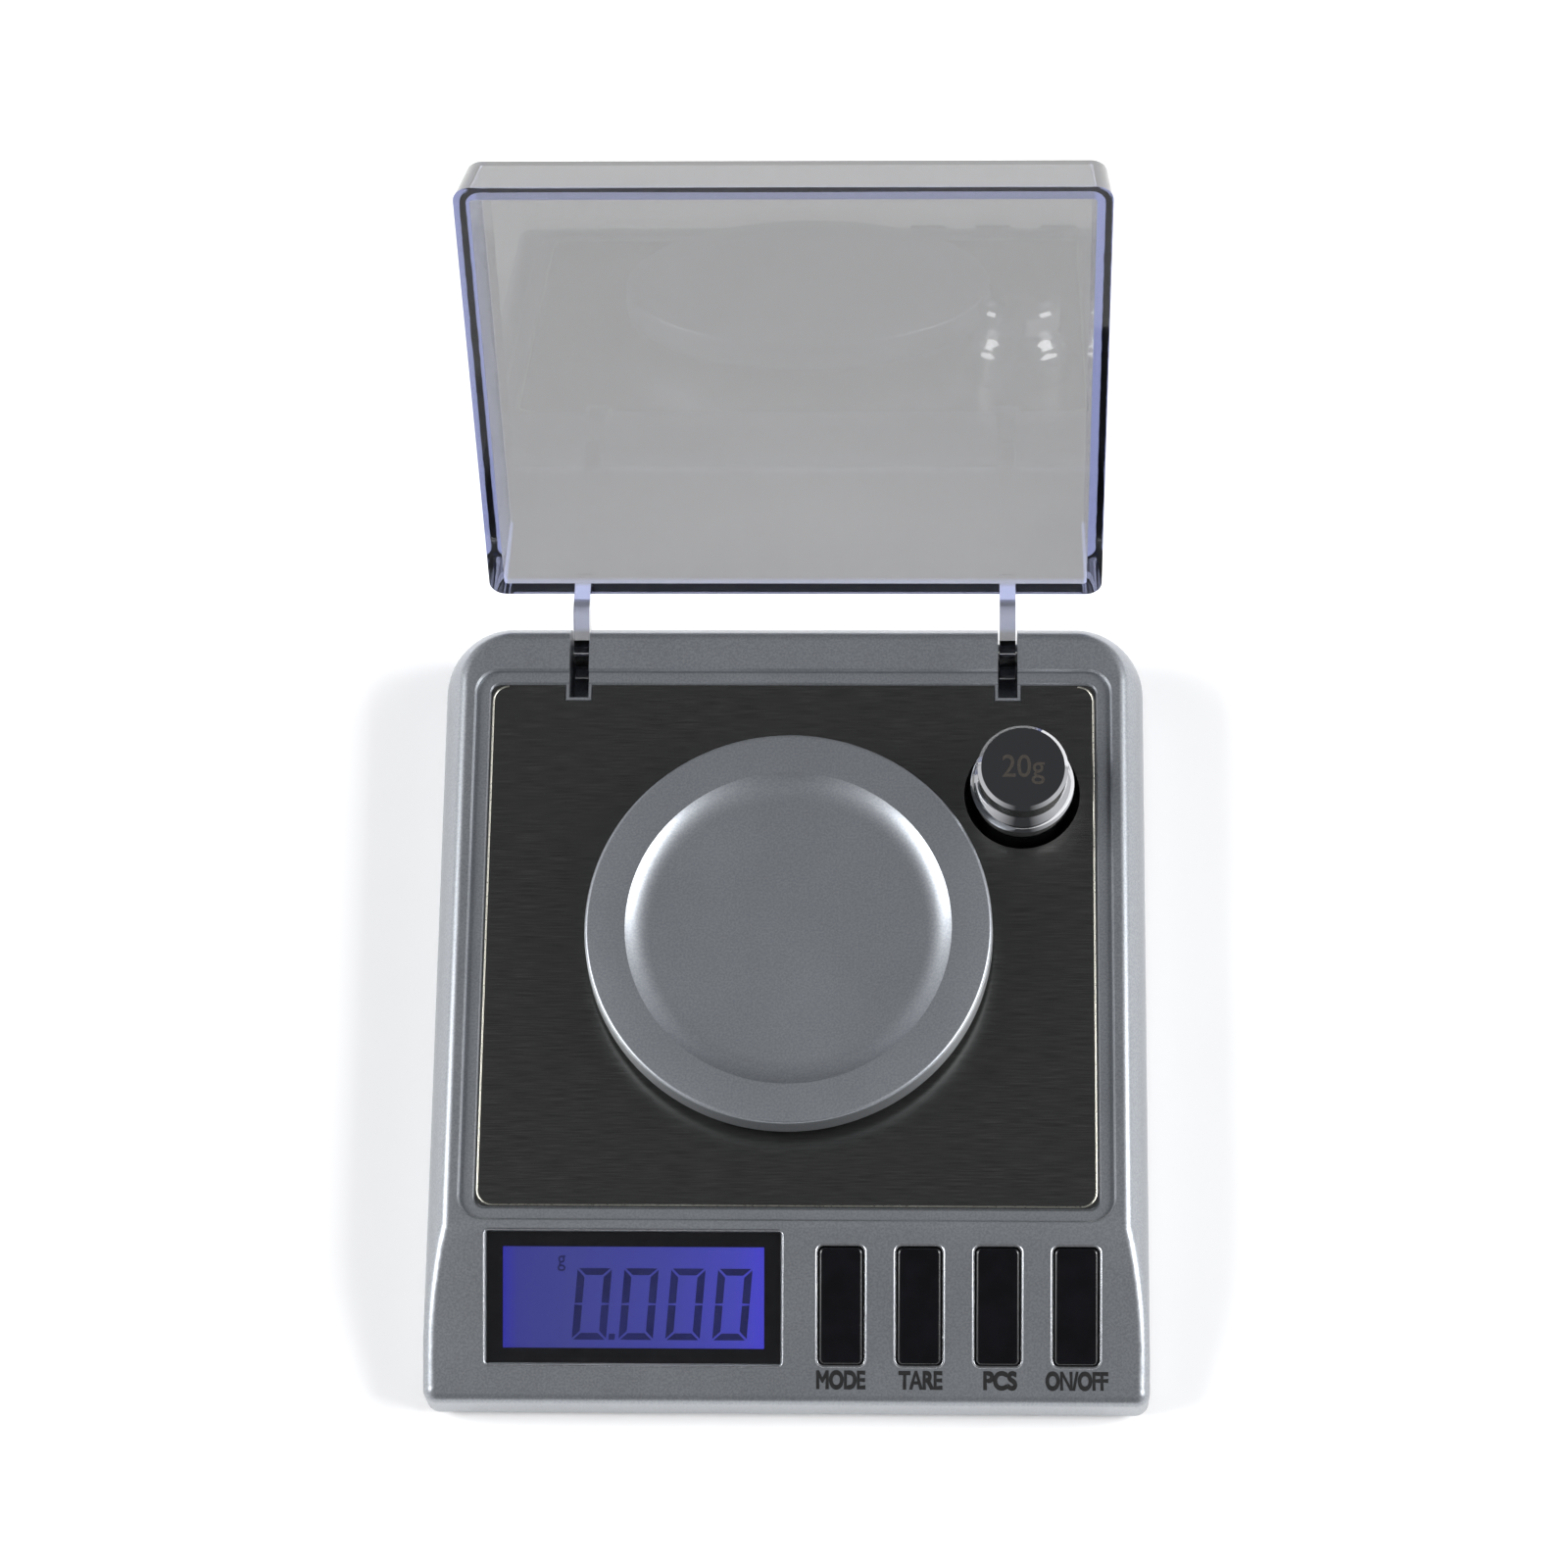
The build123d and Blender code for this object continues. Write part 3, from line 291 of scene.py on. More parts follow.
pan_profile += [(skirt_r, skirt_z), (PAN_R - WALL + SKIRT_FLARE, skirt_z), (PAN_R - WALL, PAN_TOP - WALL)]
pan_profile += [(WELL_R + WALL, PAN_TOP - WALL), (WELL_FLOOR_R + UNDER_COVE, under_z), (RING_OUT, under_z)]
pan_profile += [(RING_OUT, under_z - RING_DROP), (RING_IN, under_z - RING_DROP), (RING_IN, under_z), (0, under_z)]
pan = lathe("pan_turned", in_metres(pan_profile), pan_axis, "pan", 24)
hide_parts("weighing_pan")
nodes["weighing_pan"] = pan

# %% Weight
weight_low, weight_high = (Vector(corner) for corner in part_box("calibration_weight"))
weight_axis = Vector(((weight_low.x + weight_high.x) / 2, (weight_low.y + weight_high.y) / 2, 0))
FOOT_Z, HEAD_Z = weight_low.z / MM, weight_high.z / MM
WEIGHT_R, HEAD_R, NECK_R = 7.3, 6.35, 5.6
NECK_Z = HEAD_Z - 3.6
weight_profile = [(0, FOOT_Z), (WEIGHT_R - 0.4, FOOT_Z), (WEIGHT_R, FOOT_Z + 0.4), (WEIGHT_R, NECK_Z - 3.4)]
weight_profile += [(WEIGHT_R - 0.4, NECK_Z - 3.0), (WEIGHT_R - 0.6, NECK_Z - 2.6), (WEIGHT_R - 0.5, NECK_Z - 2.2)]
weight_profile += [(WEIGHT_R - 0.8, NECK_Z - 1.9), (NECK_R + 0.3, NECK_Z - 1.4), (NECK_R, NECK_Z - 0.9)]
weight_profile += [(NECK_R + 0.1, NECK_Z - 0.3), (HEAD_R - 0.3, NECK_Z), (HEAD_R, NECK_Z + 0.3)]
weight_profile += [(HEAD_R, HEAD_Z - 0.5), (HEAD_R - 0.5, HEAD_Z), (0, HEAD_Z)]
weight = lathe("weight_turned", in_metres(weight_profile), weight_axis, "weight", 38)
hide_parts("calibration_weight")
nodes["calibration_weight"] = weight

# %% [markdown]
# ## Silver lacquer on ABS
# The casing and the pan are moulded in ABS and sprayed with a silver lacquer. It holds fine aluminium
# flakes that lie nearly flat, so the paint is a soft metal: it darkens and brightens with the angle,
# and close up it has a grain of about a tenth of a millimetre. That is too fine to show, so the grain
# here is drawn at a quarter of a millimetre.

# %% Silver lacquer
def silver_lacquer(name, low_hex, high_hex, roughness):
    material, tree, shader, place = start_material(name)
    grain, tint = mottle(tree, place, 0.28, low_hex, high_hex)
    cloud = add(tree, "ShaderNodeTexNoise", {"Vector": place, "Scale": per_size(14), "Detail": 3.0})
    tree.links.new(tint, shader.inputs["Base Color"])
    sheen = rough_between(tree, cloud.outputs["Fac"], roughness - 0.03, roughness + 0.05)
    tree.links.new(sheen, shader.inputs["Roughness"])
    set_shader(shader, Metallic=0.8, Coat_Weight=0.25, Coat_Roughness=0.2)
    bumped(tree, shader, grain, 0.006, 0.35)
    return material


finish_with(silver_lacquer("silver lacquer on ABS", "8f9398", "a0a4a9", 0.35), "top_shell", "bottom_shell")
finish_with(silver_lacquer("silver lacquer on pan", "90949a", "9ea2a7", 0.36), "weighing_pan")

# %% [markdown]
# ## Brushed stainless deck
# The deck is a thin stainless sheet, brushed from side to side. Brushing leaves parallel scratches much
# longer than they are wide, so the noise is stretched along X. They spread a highlight across the brush
# lines and make a dark, silky mirror of whatever hangs over the scale.

# %% Brushed stainless
def brushed_stainless(name, low_hex, high_hex):
    material, tree, shader, place = start_material(name)
    stretched = add(tree, "ShaderNodeMapping", {"Vector": place, "Scale": (0.03, 1.0, 1.0)})
    lines = stretched.outputs["Vector"]
    scratch, tint = mottle(tree, lines, 0.13, low_hex, high_hex, 0.3, 0.7, 3.0)
    tree.links.new(tint, shader.inputs["Base Color"])
    tree.links.new(rough_between(tree, scratch, 0.15, 0.25), shader.inputs["Roughness"])
    set_shader(shader, Metallic=1.0)
    bumped(tree, shader, scratch, 0.002, 0.35)
    return material


finish_with(brushed_stainless("brushed stainless steel", "969692", "b2b2ae"), "deck_plate")

# %% [markdown]
# ## Polished steel
# A calibration weight is turned from steel and polished, then plated, so it is a plain mirror with a few
# hairlines. The hinge pins are ground steel, and the screws are zinc plated and duller.

# %% Polished and plated steel
def plated_steel(name, hex_value, roughness, hairline_mm):
    material, tree, shader, place = start_material(name)
    hair = add(tree, "ShaderNodeTexNoise", {"Vector": place, "Scale": per_size(hairline_mm), "Detail": 5.0})
    polish = rough_between(tree, hair.outputs["Fac"], roughness * 0.6, roughness * 1.4)
    tree.links.new(polish, shader.inputs["Roughness"])
    set_shader(shader, Base_Color=colour(hex_value), Metallic=1.0)
    bumped(tree, shader, hair.outputs["Fac"], 0.002, 0.3)
    return material


finish_with(plated_steel("polished plated steel", "c9cacc", 0.06, 0.9), "calibration_weight")
finish_with(
    plated_steel("zinc plated steel", "b4b5b2", 0.3, 0.4),
    "case_screws", "board_screws", "load_cell_fixed_screws", "load_cell_free_screws", "overload_stop",
    "hinge_pin_left", "hinge_pin_right",
)
finish_with(plated_steel("nickel plated spring steel", "bdbab2", 0.22, 0.4), "contact_plates", "contact_springs")
finish_with(plated_steel("milled aluminium", "c4c6c8", 0.34, 0.25), "load_cell")

# %% [markdown]
# ## Clear lid
# The lid is moulded in clear acrylic with walls of about two millimetres. Seen flat on it is a faint grey,
# while its rims and side walls look bluish, because light runs a long way through them. Refraction and a
# little loss of light over the depth give part of that. The rest is painted, a tint placed by distance from
# the hinge: a painted grey on the panel and the arms, and a painted bluish tint on the rims and the side
# walls in place of the light that runs along them. The lid and the window throw no shadow because the
# lamps shine through them.

# %% Clear acrylic
def clear_acrylic(name, deep_hex, density):
    material, tree, shader, place = start_material(name)
    haze = add(tree, "ShaderNodeTexNoise", {"Vector": place, "Scale": per_size(9), "Detail": 4.0})
    tree.links.new(rough_between(tree, haze.outputs["Fac"], 0.0, 0.04), shader.inputs["Roughness"])
    set_shader(shader, IOR=1.49, Transmission_Weight=1.0)
    depth = add(tree, "ShaderNodeVolumeAbsorption", {"Color": colour(deep_hex), "Density": density})
    tree.links.new(depth.outputs["Volume"], tree.nodes["Material Output"].inputs["Volume"])
    return material


def ramp_between(tree, value, low, high):
    """Rises from nought to one between two distances."""
    return add(tree, "ShaderNodeMapRange", {"Value": value, "From Min": low, "From Max": high}).outputs["Result"]


def painted_lid_tint(material, pivot, open_angle):
    """Paints a grey on the panel and the arms and a clearer bluish tint on the rims and side walls, in place of
    the light that runs along the walls.
    """
    tree = material.node_tree
    place = tree.nodes["Texture Coordinate"].outputs["Object"]
    from_pivot = add(tree, "ShaderNodeVectorMath", {0: place, 1: pivot}, operation="SUBTRACT").outputs["Vector"]

    def distance(direction):
        measured = add(tree, "ShaderNodeVectorMath", {0: from_pivot, 1: direction}, operation="DOT_PRODUCT")
        return measured.outputs["Value"]

    depth = distance((0, sin(open_angle), cos(open_angle)))
    along = distance((0, -cos(open_angle), sin(open_angle)))
    sideways = add(tree, "ShaderNodeMath", {0: distance((1, 0, 0))}, operation="ABSOLUTE").outputs["Value"]
    past_rim = ramp_between(tree, depth, 7.6 * MM, 8.4 * MM)
    in_arm = ramp_between(tree, along, 6.0 * MM, 5.4 * MM)
    between_sides = ramp_between(tree, sideways, 42.4 * MM, 41.8 * MM)
    grey = add(tree, "ShaderNodeMath", {0: past_rim, 1: in_arm}, operation="MAXIMUM").outputs["Value"]
    both = add(tree, "ShaderNodeMath", {0: grey, 1: between_sides}, operation="MULTIPLY").outputs["Value"]
    # Painted tint: a bluish one on the rims and side walls, a grey one on the panel and the arms.
    mix = add(tree, "ShaderNodeMix", {"Factor": both}, data_type="RGBA")
    mix.inputs["A"].default_value = colour("b0b6d4")
    mix.inputs["B"].default_value = colour("9a9a98")
    tree.links.new(mix.outputs["Result"], tree.nodes["Principled BSDF"].inputs["Base Color"])


hinge = next(j for j in frame["record"]["behaviour"]["joints"] if j["name"] == "lid_hinge")
acrylic = clear_acrylic("clear acrylic", "9aa0c4", 70.0)
painted_lid_tint(acrylic, tuple(hinge["pos_m"]), radians(-hinge["range_deg"][0]))
finish_with(acrylic, "lid")
window_acrylic = clear_acrylic("clear window acrylic", "ffffff", 0.0)
set_shader(window_acrylic.node_tree.nodes["Principled BSDF"], Base_Color=(1, 1, 1, 1))
finish_with(window_acrylic, "display_window")
nodes["lid"].visible_shadow = False
nodes["display_window"].visible_shadow = False

# %% [markdown]
# ## Gloss black keys
# The keys are moulded in black ABS and polished, so they are nearly a black mirror with soft edges.
# A slight waviness from the mould keeps the reflection from being perfect.

# %% Gloss and matt black plastics
def moulded_plastic(name, low_hex, high_hex, low_rough, high_rough, grain_mm, depth_mm, coat=0.0):
    material, tree, shader, place = start_material(name)
    grain, tint = mottle(tree, place, grain_mm, low_hex, high_hex)
    tree.links.new(tint, shader.inputs["Base Color"])
    tree.links.new(rough_between(tree, grain, low_rough, high_rough), shader.inputs["Roughness"])
    set_shader(shader, IOR=1.53, Coat_Weight=coat, Coat_Roughness=0.08)
    bumped(tree, shader, grain, depth_mm, 0.5)
    return material


finish_with(moulded_plastic("polished black ABS", "08080b", "0c0c10", 0.1, 0.2, 3.0, 0.01, 0.5), *KEYS)
finish_with(
    moulded_plastic("spark eroded black ABS", "101012", "1a1a1c", 0.45, 0.65, 0.35, 0.02),
    "battery_door", "weight_cup", "pan_carrier", "lcd_frame",
)
finish_with(
    moulded_plastic("black epoxy mould compound", "121214", "1c1c1e", 0.5, 0.7, 0.2, 0.01),
    "board_chips", "key_switches",
)
finish_with(moulded_plastic("black nitrile rubber", "131313", "1e1e1d", 0.7, 0.9, 0.4, 0.03), "rubber_feet")
finish_with(
    moulded_plastic("red silicone sleeve", "7d1610", "992015", 0.4, 0.55, 0.5, 0.01),
    "load_cell_wires", "battery_wires",
)
finish_with(moulded_plastic("polyimide gauge foil", "a8601c", "c9842e", 0.2, 0.35, 0.3, 0.005), "strain_gauges")

# %% [markdown]
# ## Circuit board and batteries
# The board is glass epoxy under green solder mask, with tracks that show as slightly lighter strips.
# A brick texture with the board's track pitch gives those. A dry cell is a steel can in a printed plastic
# sleeve: one colour over most of its length and another near its positive end.

# %% Board and cell finishes
def solder_mask(name):
    material, tree, shader, place = start_material(name)
    tracks = add(tree, "ShaderNodeTexBrick", {
        "Vector": place, "Scale": per_size(1.9), "Mortar Size": 0.12, "Row Height": 0.6,
        "Color1": colour("0f4a2a"), "Color2": colour("115030"), "Mortar": colour("2c7a48"),
    })
    tree.links.new(tracks.outputs["Color"], shader.inputs["Base Color"])
    set_shader(shader, Roughness=0.28, IOR=1.55)
    bumped(tree, shader, tracks.outputs["Fac"], 0.02, 0.6)
    return material


def cell_sleeve(name):
    material, tree, shader, place = start_material(name)
    across = add(tree, "ShaderNodeSeparateXYZ", {"Vector": place}).outputs["X"]
    band = add(tree, "ShaderNodeMath", {0: across, 1: 9 * MM}, operation="GREATER_THAN").outputs["Value"]
    mix = add(tree, "ShaderNodeMix", {"Factor": band}, data_type="RGBA")
    mix.inputs["A"].default_value = colour("17181a")
    mix.inputs["B"].default_value = colour("b07a2a")
    tree.links.new(mix.outputs["Result"], shader.inputs["Base Color"])
    set_shader(shader, Roughness=0.25, Metallic=0.2, Coat_Weight=0.6)
    return material


finish_with(solder_mask("green solder mask"), "main_board")
finish_with(cell_sleeve("printed cell sleeve"), "batteries")

# %% [markdown]
# ## Lit display
# Behind the window lies a blue liquid-crystal display lit from its side. The light comes in at the edges,
# so the blue is deepest and brightest there and paler in the middle. The glass glows in its own colour,
# and the digits are painted on it as dark segments.

# %% Display geometry
# The console slopes down to the front. S runs down the slope from the window's top edge.
CONSOLE_SLOPE = radians(20)
WINDOW_T = 1.1 * MM
WINDOW_SIZE = (40.8 * MM, 18.3 * MM)
VIEW_SIZE = (36.2 * MM, 14.0 * MM)
GLASS_DEPTH = 1.95 * MM
window_low, window_high = (Vector(corner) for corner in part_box("display_window"))
window_x = (window_low.x + window_high.x) / 2
edge_y = window_high.y - WINDOW_T * sin(CONSOLE_SLOPE)
edge_z = window_high.z


def console_matrix(x, s, height=0.0):
    """Where a flat thing drawn about its own middle lands on the console."""
    y = edge_y - s * cos(CONSOLE_SLOPE) - height * sin(CONSOLE_SLOPE)
    z = edge_z - s * sin(CONSOLE_SLOPE) + height * cos(CONSOLE_SLOPE)
    return Matrix.Translation((x, y, z)) @ Matrix.Rotation(CONSOLE_SLOPE, 4, "X")


window_s = WINDOW_SIZE[1] / 2
print("window centre on the console:", [round(v, 4) for v in console_matrix(window_x, window_s).translation])


# %% Lit liquid-crystal glass
def lit_glass(name):
    material, tree, shader, place = start_material(name)
    middle = console_matrix(window_x, window_s).translation
    centred = add(tree, "ShaderNodeMapping", {"Vector": place, "Location": tuple(-middle)})
    split = add(tree, "ShaderNodeSeparateXYZ", {"Vector": centred.outputs["Vector"]})
    half = VIEW_SIZE[0] / 2
    span = {"Value": split.outputs["X"], "From Min": -half, "From Max": half}
    sideways = add(tree, "ShaderNodeMapRange", span)
    ramp = add(tree, "ShaderNodeValToRGB", {"Fac": sideways.outputs["Result"]})
    stops = (
        (0.0, "302fa0"), (0.06, "34378a"), (0.25, "393d8a"),
        (0.6, "3c3f9a"), (0.88, "4142b0"), (1.0, "4440c8"),
    )
    while len(ramp.color_ramp.elements) < len(stops):
        ramp.color_ramp.elements.new(0.5)
    for element, (position, hex_value) in zip(ramp.color_ramp.elements, stops):
        element.position = position
        element.color = colour(hex_value)
    tree.links.new(ramp.outputs["Color"], shader.inputs["Emission Color"])
    set_shader(shader, Base_Color=colour("04040c"), Emission_Strength=1.0, Roughness=0.3)
    return material


finish_with(lit_glass("lit blue liquid crystal"), "lcd_glass")
finish_with(moulded_plastic("milky light guide acrylic", "c8cddc", "d8dcea", 0.3, 0.4, 2.0, 0.01), "lcd_backlight")


# %% [markdown]
# ## Window border
# The black border is printed on the underside of the window: a thin frame with an open middle. A plate is
# inset to the width of the border, its middle is deleted, and the rest is given the thickness of ink.

# %% Window border
INK_T = 0.03 * MM
BORDER = ((WINDOW_SIZE[0] - VIEW_SIZE[0]) / 2, (WINDOW_SIZE[1] - VIEW_SIZE[1]) / 2)
fresh()
bpy.ops.mesh.primitive_plane_add(size=1, location=(0, 0, 0))
bpy.ops.object.mode_set(mode="EDIT")
bpy.ops.transform.resize(value=(WINDOW_SIZE[0] - 0.1 * MM, WINDOW_SIZE[1] - 0.1 * MM, 1))
bpy.ops.mesh.inset(thickness=BORDER[0])
inner = bmesh.from_edit_mesh(bpy.context.object.data)
for corner in [v for face in inner.faces if face.select for v in face.verts]:
    corner.co.y = VIEW_SIZE[1] / 2 if corner.co.y > 0 else -VIEW_SIZE[1] / 2
bmesh.update_edit_mesh(bpy.context.object.data)
bpy.ops.mesh.delete(type="FACE")
bpy.ops.mesh.select_all(action="SELECT")
bpy.ops.mesh.extrude_region_move(TRANSFORM_OT_translate={"value": (0, 0, -INK_T)})
bpy.ops.mesh.select_all(action="SELECT")
bpy.ops.mesh.normals_make_consistent(inside=False)
bpy.ops.object.mode_set(mode="OBJECT")
settle("window_border", console_matrix(window_x, window_s, -WINDOW_T - 0.01 * MM))
finish_with(moulded_plastic("black screen ink", "050507", "08080a", 0.12, 0.2, 1.5, 0.002, 0.6), "window_border")

# %% [markdown]
# ## Digits
# A seven-segment digit is two upright rows of two bars, with a bar across the top, the middle and the
# bottom. Each bar has mitred ends that leave a thin gap, and the bars lean to the right. A bar is a plane
# whose four corners are moved to their places and which is then given the thickness of a film.

# %% Digit bars
DIGIT_WIDTH = 4.75 * MM
DIGIT_HEIGHT = 9.9 * MM
DIGIT_PITCH = 6.48 * MM
BAR = 1.05 * MM
BAR_GAP = 0.18 * MM
BAR_T = 0.03 * MM
LEAN = 0.085
FIRST_X = -8.1 * MM
BASELINE = -5.95 * MM


def film(corners):
    """A thin flat patch with these four corners, drawn on the display's own plane."""
    fresh()
    bpy.ops.mesh.primitive_plane_add(size=1, location=(0, 0, 0))
    patch = bpy.context.object
    bpy.ops.object.mode_set(mode="EDIT")
    edit = bmesh.from_edit_mesh(patch.data)
    face = next(iter(edit.faces))
    for vertex, (x, y) in zip(face.verts, corners):
        vertex.co = (x, y, 0)
    edit.normal_update()
    if face.normal.z < 0:
        face.normal_flip()
    bmesh.update_edit_mesh(patch.data)
    bpy.ops.mesh.extrude_region_move(TRANSFORM_OT_translate={"value": (0, 0, BAR_T)})
    bpy.ops.mesh.select_all(action="SELECT")
    bpy.ops.mesh.normals_make_consistent(inside=False)
    bpy.ops.object.mode_set(mode="OBJECT")
    return patch


def nought(x, y):
    """The six outer bars of a nought whose lower left corner is at x, y."""
    w, h, t, g = DIGIT_WIDTH, DIGIT_HEIGHT, BAR, BAR_GAP
    level_bar = [(g, 0), (w - g, 0), (w - t - g, t * 0.9), (t + g, t * 0.9)]
    upright_bar = [(0, g), (0, h / 2 - 0.5 * g), (t, h / 2 - g), (t, t + g)]
    flip_y = [[(a, h - b) for a, b in bar] for bar in (level_bar, upright_bar)]
    flip_x = [[(w - a, b) for a, b in bar] for bar in (upright_bar, flip_y[1])]
    bars = [level_bar, upright_bar, *flip_y, *flip_x]
    return [film([(x + a, y + b) for a, b in bar]) for bar in bars]


bars = []
for column in range(4):
    bars += nought(FIRST_X + column * DIGIT_PITCH, BASELINE)
dot_x, dot = FIRST_X + DIGIT_WIDTH + 0.35 * MM, 0.85 * MM
corners = [(0, 0), (dot, 0), (dot, dot), (0, dot)]
bars.append(film([(dot_x + a, BASELINE + b) for a, b in corners]))
digits = join_as("display_digits", bars)
lean = Matrix.Identity(4)
lean[0][1] = LEAN
digits.data.transform(lean)
settle("display_digits", console_matrix(window_x, window_s, -GLASS_DEPTH))


def dark_segment(name):
    """A segment that blocks most of the light behind it, so it glows a deep blue."""
    material, tree, shader, place = start_material(name)
    tint = mottle(tree, place, 6.0, "14174f", "1b1f5e")[1]
    tree.links.new(tint, shader.inputs["Emission Color"])
    set_shader(shader, Base_Color=colour("030308"), Emission_Strength=0.9, Roughness=0.3)
    return material


finish_with(dark_segment("dark liquid crystal"), "display_digits")

# %% [markdown]
# ## Beads with a painted highlight
# The mould leaves a fine rounded bead round the window and round each key. The lacquer is thin and
# polished there, so it catches the light on every side, and its colour is painted lighter than the
# casing's lacquer as a painted highlight. A plane's corners are rounded, its outline becomes a curve, and
# the curve gets a round section.

# %% Beads round the openings
def bead(name, place, width, length, corner, thickness, open_behind=False):
    """A rounded rectangle of wire laid at a place, all round or with its rear side left open."""
    fresh()
    bpy.ops.mesh.primitive_plane_add(size=1, location=(0, 0, 0))
    ring = bpy.context.object
    bpy.ops.object.mode_set(mode="EDIT")
    bpy.ops.transform.resize(value=(width, length, 1))
    bpy.ops.mesh.bevel(offset=corner, offset_type="OFFSET", segments=6, affect="VERTICES")
    bpy.ops.mesh.select_all(action="SELECT")
    bpy.ops.mesh.delete(type="ONLY_FACE")
    if open_behind:
        bpy.ops.mesh.select_all(action="DESELECT")
        edit = bmesh.from_edit_mesh(ring.data)
        rear = max(edit.edges, key=lambda edge: edge.verts[0].co.y + edge.verts[1].co.y)
        rear.select_set(True)
        bmesh.update_edit_mesh(ring.data)
        bpy.ops.mesh.delete(type="EDGE_FACE")
    bpy.ops.object.mode_set(mode="OBJECT")
    bpy.ops.object.convert(target="CURVE")
    ring = bpy.context.object
    ring.data.bevel_depth = thickness / 2
    ring.data.bevel_resolution = 3
    ring.data.use_fill_caps = open_behind
    bpy.ops.object.convert(target="MESH")
    bpy.ops.object.shade_smooth()
    return settle(name, place)


KEY_BEAD = 0.42 * MM
KEY_CAP = (5.9 * MM, 16.0 * MM)
KEY_S = 10.05 * MM
KEY_GAP = 0.2 * MM
KEY_CORNER = 1.0 * MM
BEAD_SUNK = 0.04 * MM
WINDOW_BEAD = 0.18 * MM
WINDOW_CORNER = 0.7 * MM
WINDOW_REACH = 0.5 * MM
window_bead_size = [side + WINDOW_REACH for side in WINDOW_SIZE]
beads = [bead("bead_window", console_matrix(window_x, window_s), *window_bead_size, WINDOW_CORNER, WINDOW_BEAD)]
for key in KEYS:
    low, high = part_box(key)
    reach = 2 * KEY_GAP + KEY_BEAD
    size = (KEY_CAP[0] + reach, KEY_CAP[1] + reach)
    place = console_matrix((low[0] + high[0]) / 2, KEY_S, -BEAD_SUNK)
    beads.append(bead(f"bead_{key}", place, *size, KEY_CORNER, KEY_BEAD))
join_as("console_beads", beads)


def lacquer_painted_highlight(name):
    """Lacquer polished smooth: a clearer mirror than the rest, with a faint grain, its colour painted lighter as a
    painted highlight.
    """
    material, tree, shader, place = start_material(name)
    # Painted highlight: a lighter copy of the casing's silver lacquer.
    grain, tint = mottle(tree, place, 0.3, "b8bbbf", "cdd0d4")
    tree.links.new(tint, shader.inputs["Base Color"])
    tree.links.new(rough_between(tree, grain, 0.2, 0.3), shader.inputs["Roughness"])
    set_shader(shader, Metallic=0.9, Coat_Weight=0.3)
    return material


finish_with(lacquer_painted_highlight("polished silver lacquer with painted highlight"), "console_beads")

# %% [markdown]
# ## Sheared edge of the deck
# A fine light line runs round the dark deck on the cut edge that the press leaves in the sheet: a thin rod
# of steel whose colour is painted lighter than the deck's, a painted highlight. It is left open at the rear,
# where the lid's arms go down through the sheet.

# %% Sheared edge
EDGE_T = 0.3 * MM
EDGE_SUNK = 0.06 * MM
DECK_CORNER = 2.2 * MM
deck_low, deck_high = (Vector(corner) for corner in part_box("deck_plate"))
deck_middle = (deck_low + deck_high) / 2
deck_place = Matrix.Translation((deck_middle.x, deck_middle.y, deck_high.z - EDGE_SUNK))
deck_size = (deck_high.x - deck_low.x - EDGE_T, deck_high.y - deck_low.y - EDGE_T)
bead("deck_edge", deck_place, *deck_size, DECK_CORNER, EDGE_T, open_behind=True)
print("deck edge round", [round(side / MM, 1) for side in deck_size], "mm")
# Painted highlight: the edge's steel is lighter than the deck's.
finish_with(plated_steel("sheared stainless edge with painted highlight", "d6d4c8", 0.3, 0.4), "deck_edge")

# %% [markdown]
# ## Printed words
# The key words are pad-printed in black, a few hundredths of a millimetre thick. They say what each key
# does, in plain words. Text is made a mesh first and only then laid on the slope.

# %% Printed words
CAP_SHARE = 0.7  # the height of a capital as a share of the type size


def print_word(name, word, height, matrix, squeeze=0.82, body="casing", thickness=INK_T, bold=0.115):
    """A flat word whose capitals are a given height, centred on its place and swelled a little."""
    fresh()
    bpy.ops.object.text_add(location=(0, 0, 0))
    text = bpy.context.object
    text.data.body = word
    text.data.align_x = "CENTER"
    text.data.align_y = "CENTER"
    text.data.size = height / CAP_SHARE
    text.data.extrude = thickness / 2
    text.data.resolution_u = 6
    bpy.ops.object.convert(target="MESH")
    bpy.ops.object.mode_set(mode="EDIT")
    bpy.ops.mesh.select_all(action="SELECT")
    bpy.ops.mesh.remove_doubles(threshold=1e-7)
    bpy.ops.object.mode_set(mode="OBJECT")
    bolder = text.modifiers.new("bolder", "DISPLACE")
    bolder.mid_level = 0
    bolder.strength = height * bold
    bpy.ops.object.modifier_apply(modifier="bolder")
    for vertex in text.data.vertices:
        vertex.co.z = copysign(thickness / 2, vertex.co.z)
    return settle(name, matrix @ Matrix.Diagonal((squeeze, 1, 1, 1)), body)


WORD_HEIGHT = 2.35 * MM
WORD_S = 20.4 * MM
words = zip(KEYS, ("MODE", "TARE", "PCS", "ON/OFF"), (-0.05, 0.2, 0.3, 0.1), (0.71, 0.745, 0.83, 0.7))
printed = []
for key, word, nudge, squeeze in words:
    low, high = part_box(key)
    x = (low[0] + high[0]) / 2 + nudge * MM
    printed.append(print_word(f"word_{key}", word, WORD_HEIGHT, console_matrix(x, WORD_S, INK_T / 2), squeeze))
join_as("key_words", printed)
finish_with(moulded_plastic("black pad print ink", "0b0b0c", "111113", 0.4, 0.55, 0.6, 0.001), "key_words")

UNIT_X = window_x - 10.0 * MM
UNIT_S = 3.95 * MM
UNIT_HEIGHT = 2.2 * MM
unit_place = console_matrix(UNIT_X, UNIT_S, -GLASS_DEPTH + BAR_T)
print_word("display_unit", "g", UNIT_HEIGHT, unit_place, bold=0.01)
finish_with(bpy.data.materials["dark liquid crystal"], "display_unit")

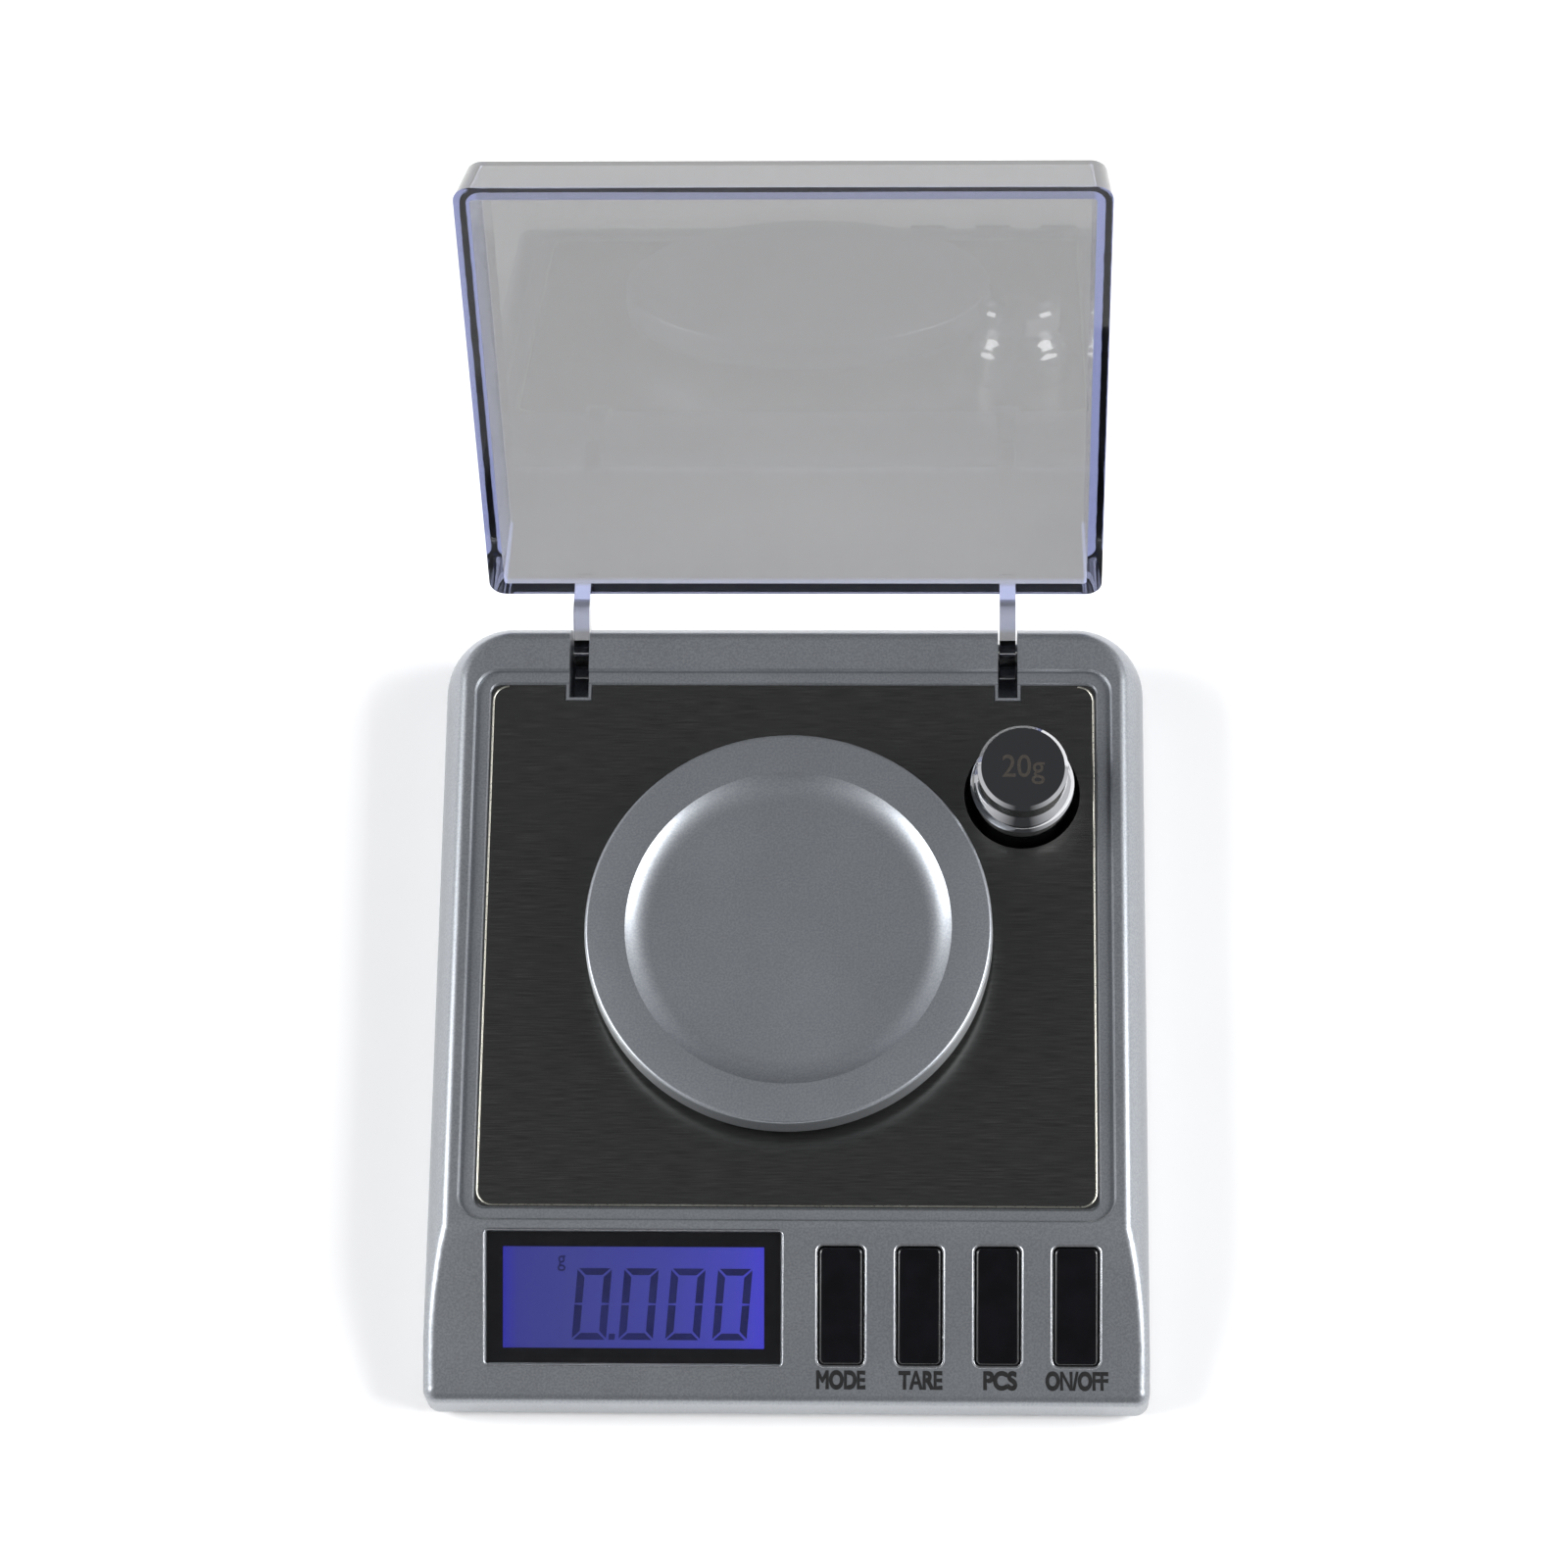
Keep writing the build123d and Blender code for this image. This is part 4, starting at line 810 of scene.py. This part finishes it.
# %% [markdown]
# ## Mark on the weight
# The weight's value is etched on its head, so it is a matt grey on a mirror and shows only faintly.

# %% Mark on the weight
MARK_HEIGHT = 3.3 * MM
MARK_T = 0.006 * MM
MARK_LIFT = 0.004 * MM
mark_place = Matrix.Translation((weight_axis.x, weight_axis.y, weight_high.z + MARK_LIFT))
print_word("weight_mark", "20g", MARK_HEIGHT, mark_place, 0.9, "weight", MARK_T, 0.012)
finish_with(plated_steel("etched steel", "5a5550", 0.55, 0.3), "weight_mark")

# %% [markdown]
# ## Studio
# A pale table and soft light from both sides. A dark ceiling over the scale is what polished and brushed
# metal mirrors when it is seen from above, so the steel looks dark while the sides stay bright.

# %% Floor
FLOOR_HALF = 1.6
fresh()
bpy.ops.mesh.primitive_grid_add(x_subdivisions=8, y_subdivisions=8, size=2 * FLOOR_HALF, location=(0, 0, 0))
floor = bpy.context.object
floor.name = "floor"
finish_with(moulded_plastic("matt white paper", "fafafa", "fcfcfc", 0.85, 0.95, 40.0, 0.01), "floor")


# %% Lamps and sky
def softbox(name, azimuth, elevation, distance, size, watts):
    """A square lamp that faces the scale from one direction."""
    a, e = radians(azimuth), radians(elevation)
    place = Vector((sin(a) * cos(e), -cos(a) * cos(e), sin(e))) * distance
    fresh()
    bpy.ops.object.light_add(type="AREA", location=place)
    lamp = bpy.context.object
    lamp.name = name
    lamp.data.shape = "RECTANGLE"
    lamp.data.size, lamp.data.size_y = size
    lamp.data.energy = watts
    lamp.rotation_euler = (-place).to_track_quat("-Z", "Y").to_euler()
    print(name, "at", [round(v, 2) for v in place])


softbox("left softbox", -85, 39, 0.9, (0.52, 0.42), 6.9)
softbox("right softbox", 85, 39, 0.9, (0.52, 0.42), 7.9)

world = bpy.data.worlds.new("studio")
bpy.context.scene.world = world
world.use_nodes = True
sky = world.node_tree
direction = add(sky, "ShaderNodeTexCoord").outputs["Generated"]
sideways = add(sky, "ShaderNodeSeparateXYZ", {"Vector": direction}).outputs["X"]
away = add(sky, "ShaderNodeMath", {0: sideways}, operation="ABSOLUTE").outputs["Value"]
room = add(sky, "ShaderNodeValToRGB", {"Fac": away})
room.color_ramp.elements[0].position = 0.2
room.color_ramp.elements[0].color = (0.055, 0.056, 0.06, 1)
room.color_ramp.elements[1].position = 0.85
room.color_ramp.elements[1].color = (0.8, 0.8, 0.82, 1)
sky.links.new(room.outputs["Color"], sky.nodes["Background"].inputs["Color"])
bpy.context.scene.view_settings.view_transform = "Standard"

# %% [markdown]
# ## Camera
# The scale is seen from high above its front edge, a little to the right, with the frame turned a few
# degrees. The camera's own axes are built from those angles.

# %% Camera
AZIMUTH, ELEVATION, ROLL = radians(5.86), radians(70.32), radians(-5.41)
TARGET = pan_axis + Vector((-1.1, 23.5, 16.0)) * MM
DISTANCE = 0.723
toward = Vector((sin(AZIMUTH) * cos(ELEVATION), -cos(AZIMUTH) * cos(ELEVATION), sin(ELEVATION)))
level = Vector((cos(AZIMUTH), sin(AZIMUTH), 0))
raised = toward.cross(level)
right = level * cos(ROLL) + raised * sin(ROLL)
up = raised * cos(ROLL) - level * sin(ROLL)
pose = Matrix((right, up, toward)).transposed().to_4x4()
pose.translation = TARGET + toward * DISTANCE
fresh()
bpy.ops.object.camera_add()
camera = bpy.context.object
camera.matrix_world = pose
camera.data.sensor_width = 36
camera.data.lens = 116.8
camera.data.clip_start = 0.01
bpy.context.scene.camera = camera
print("camera at", [round(v, 4) for v in pose.translation])
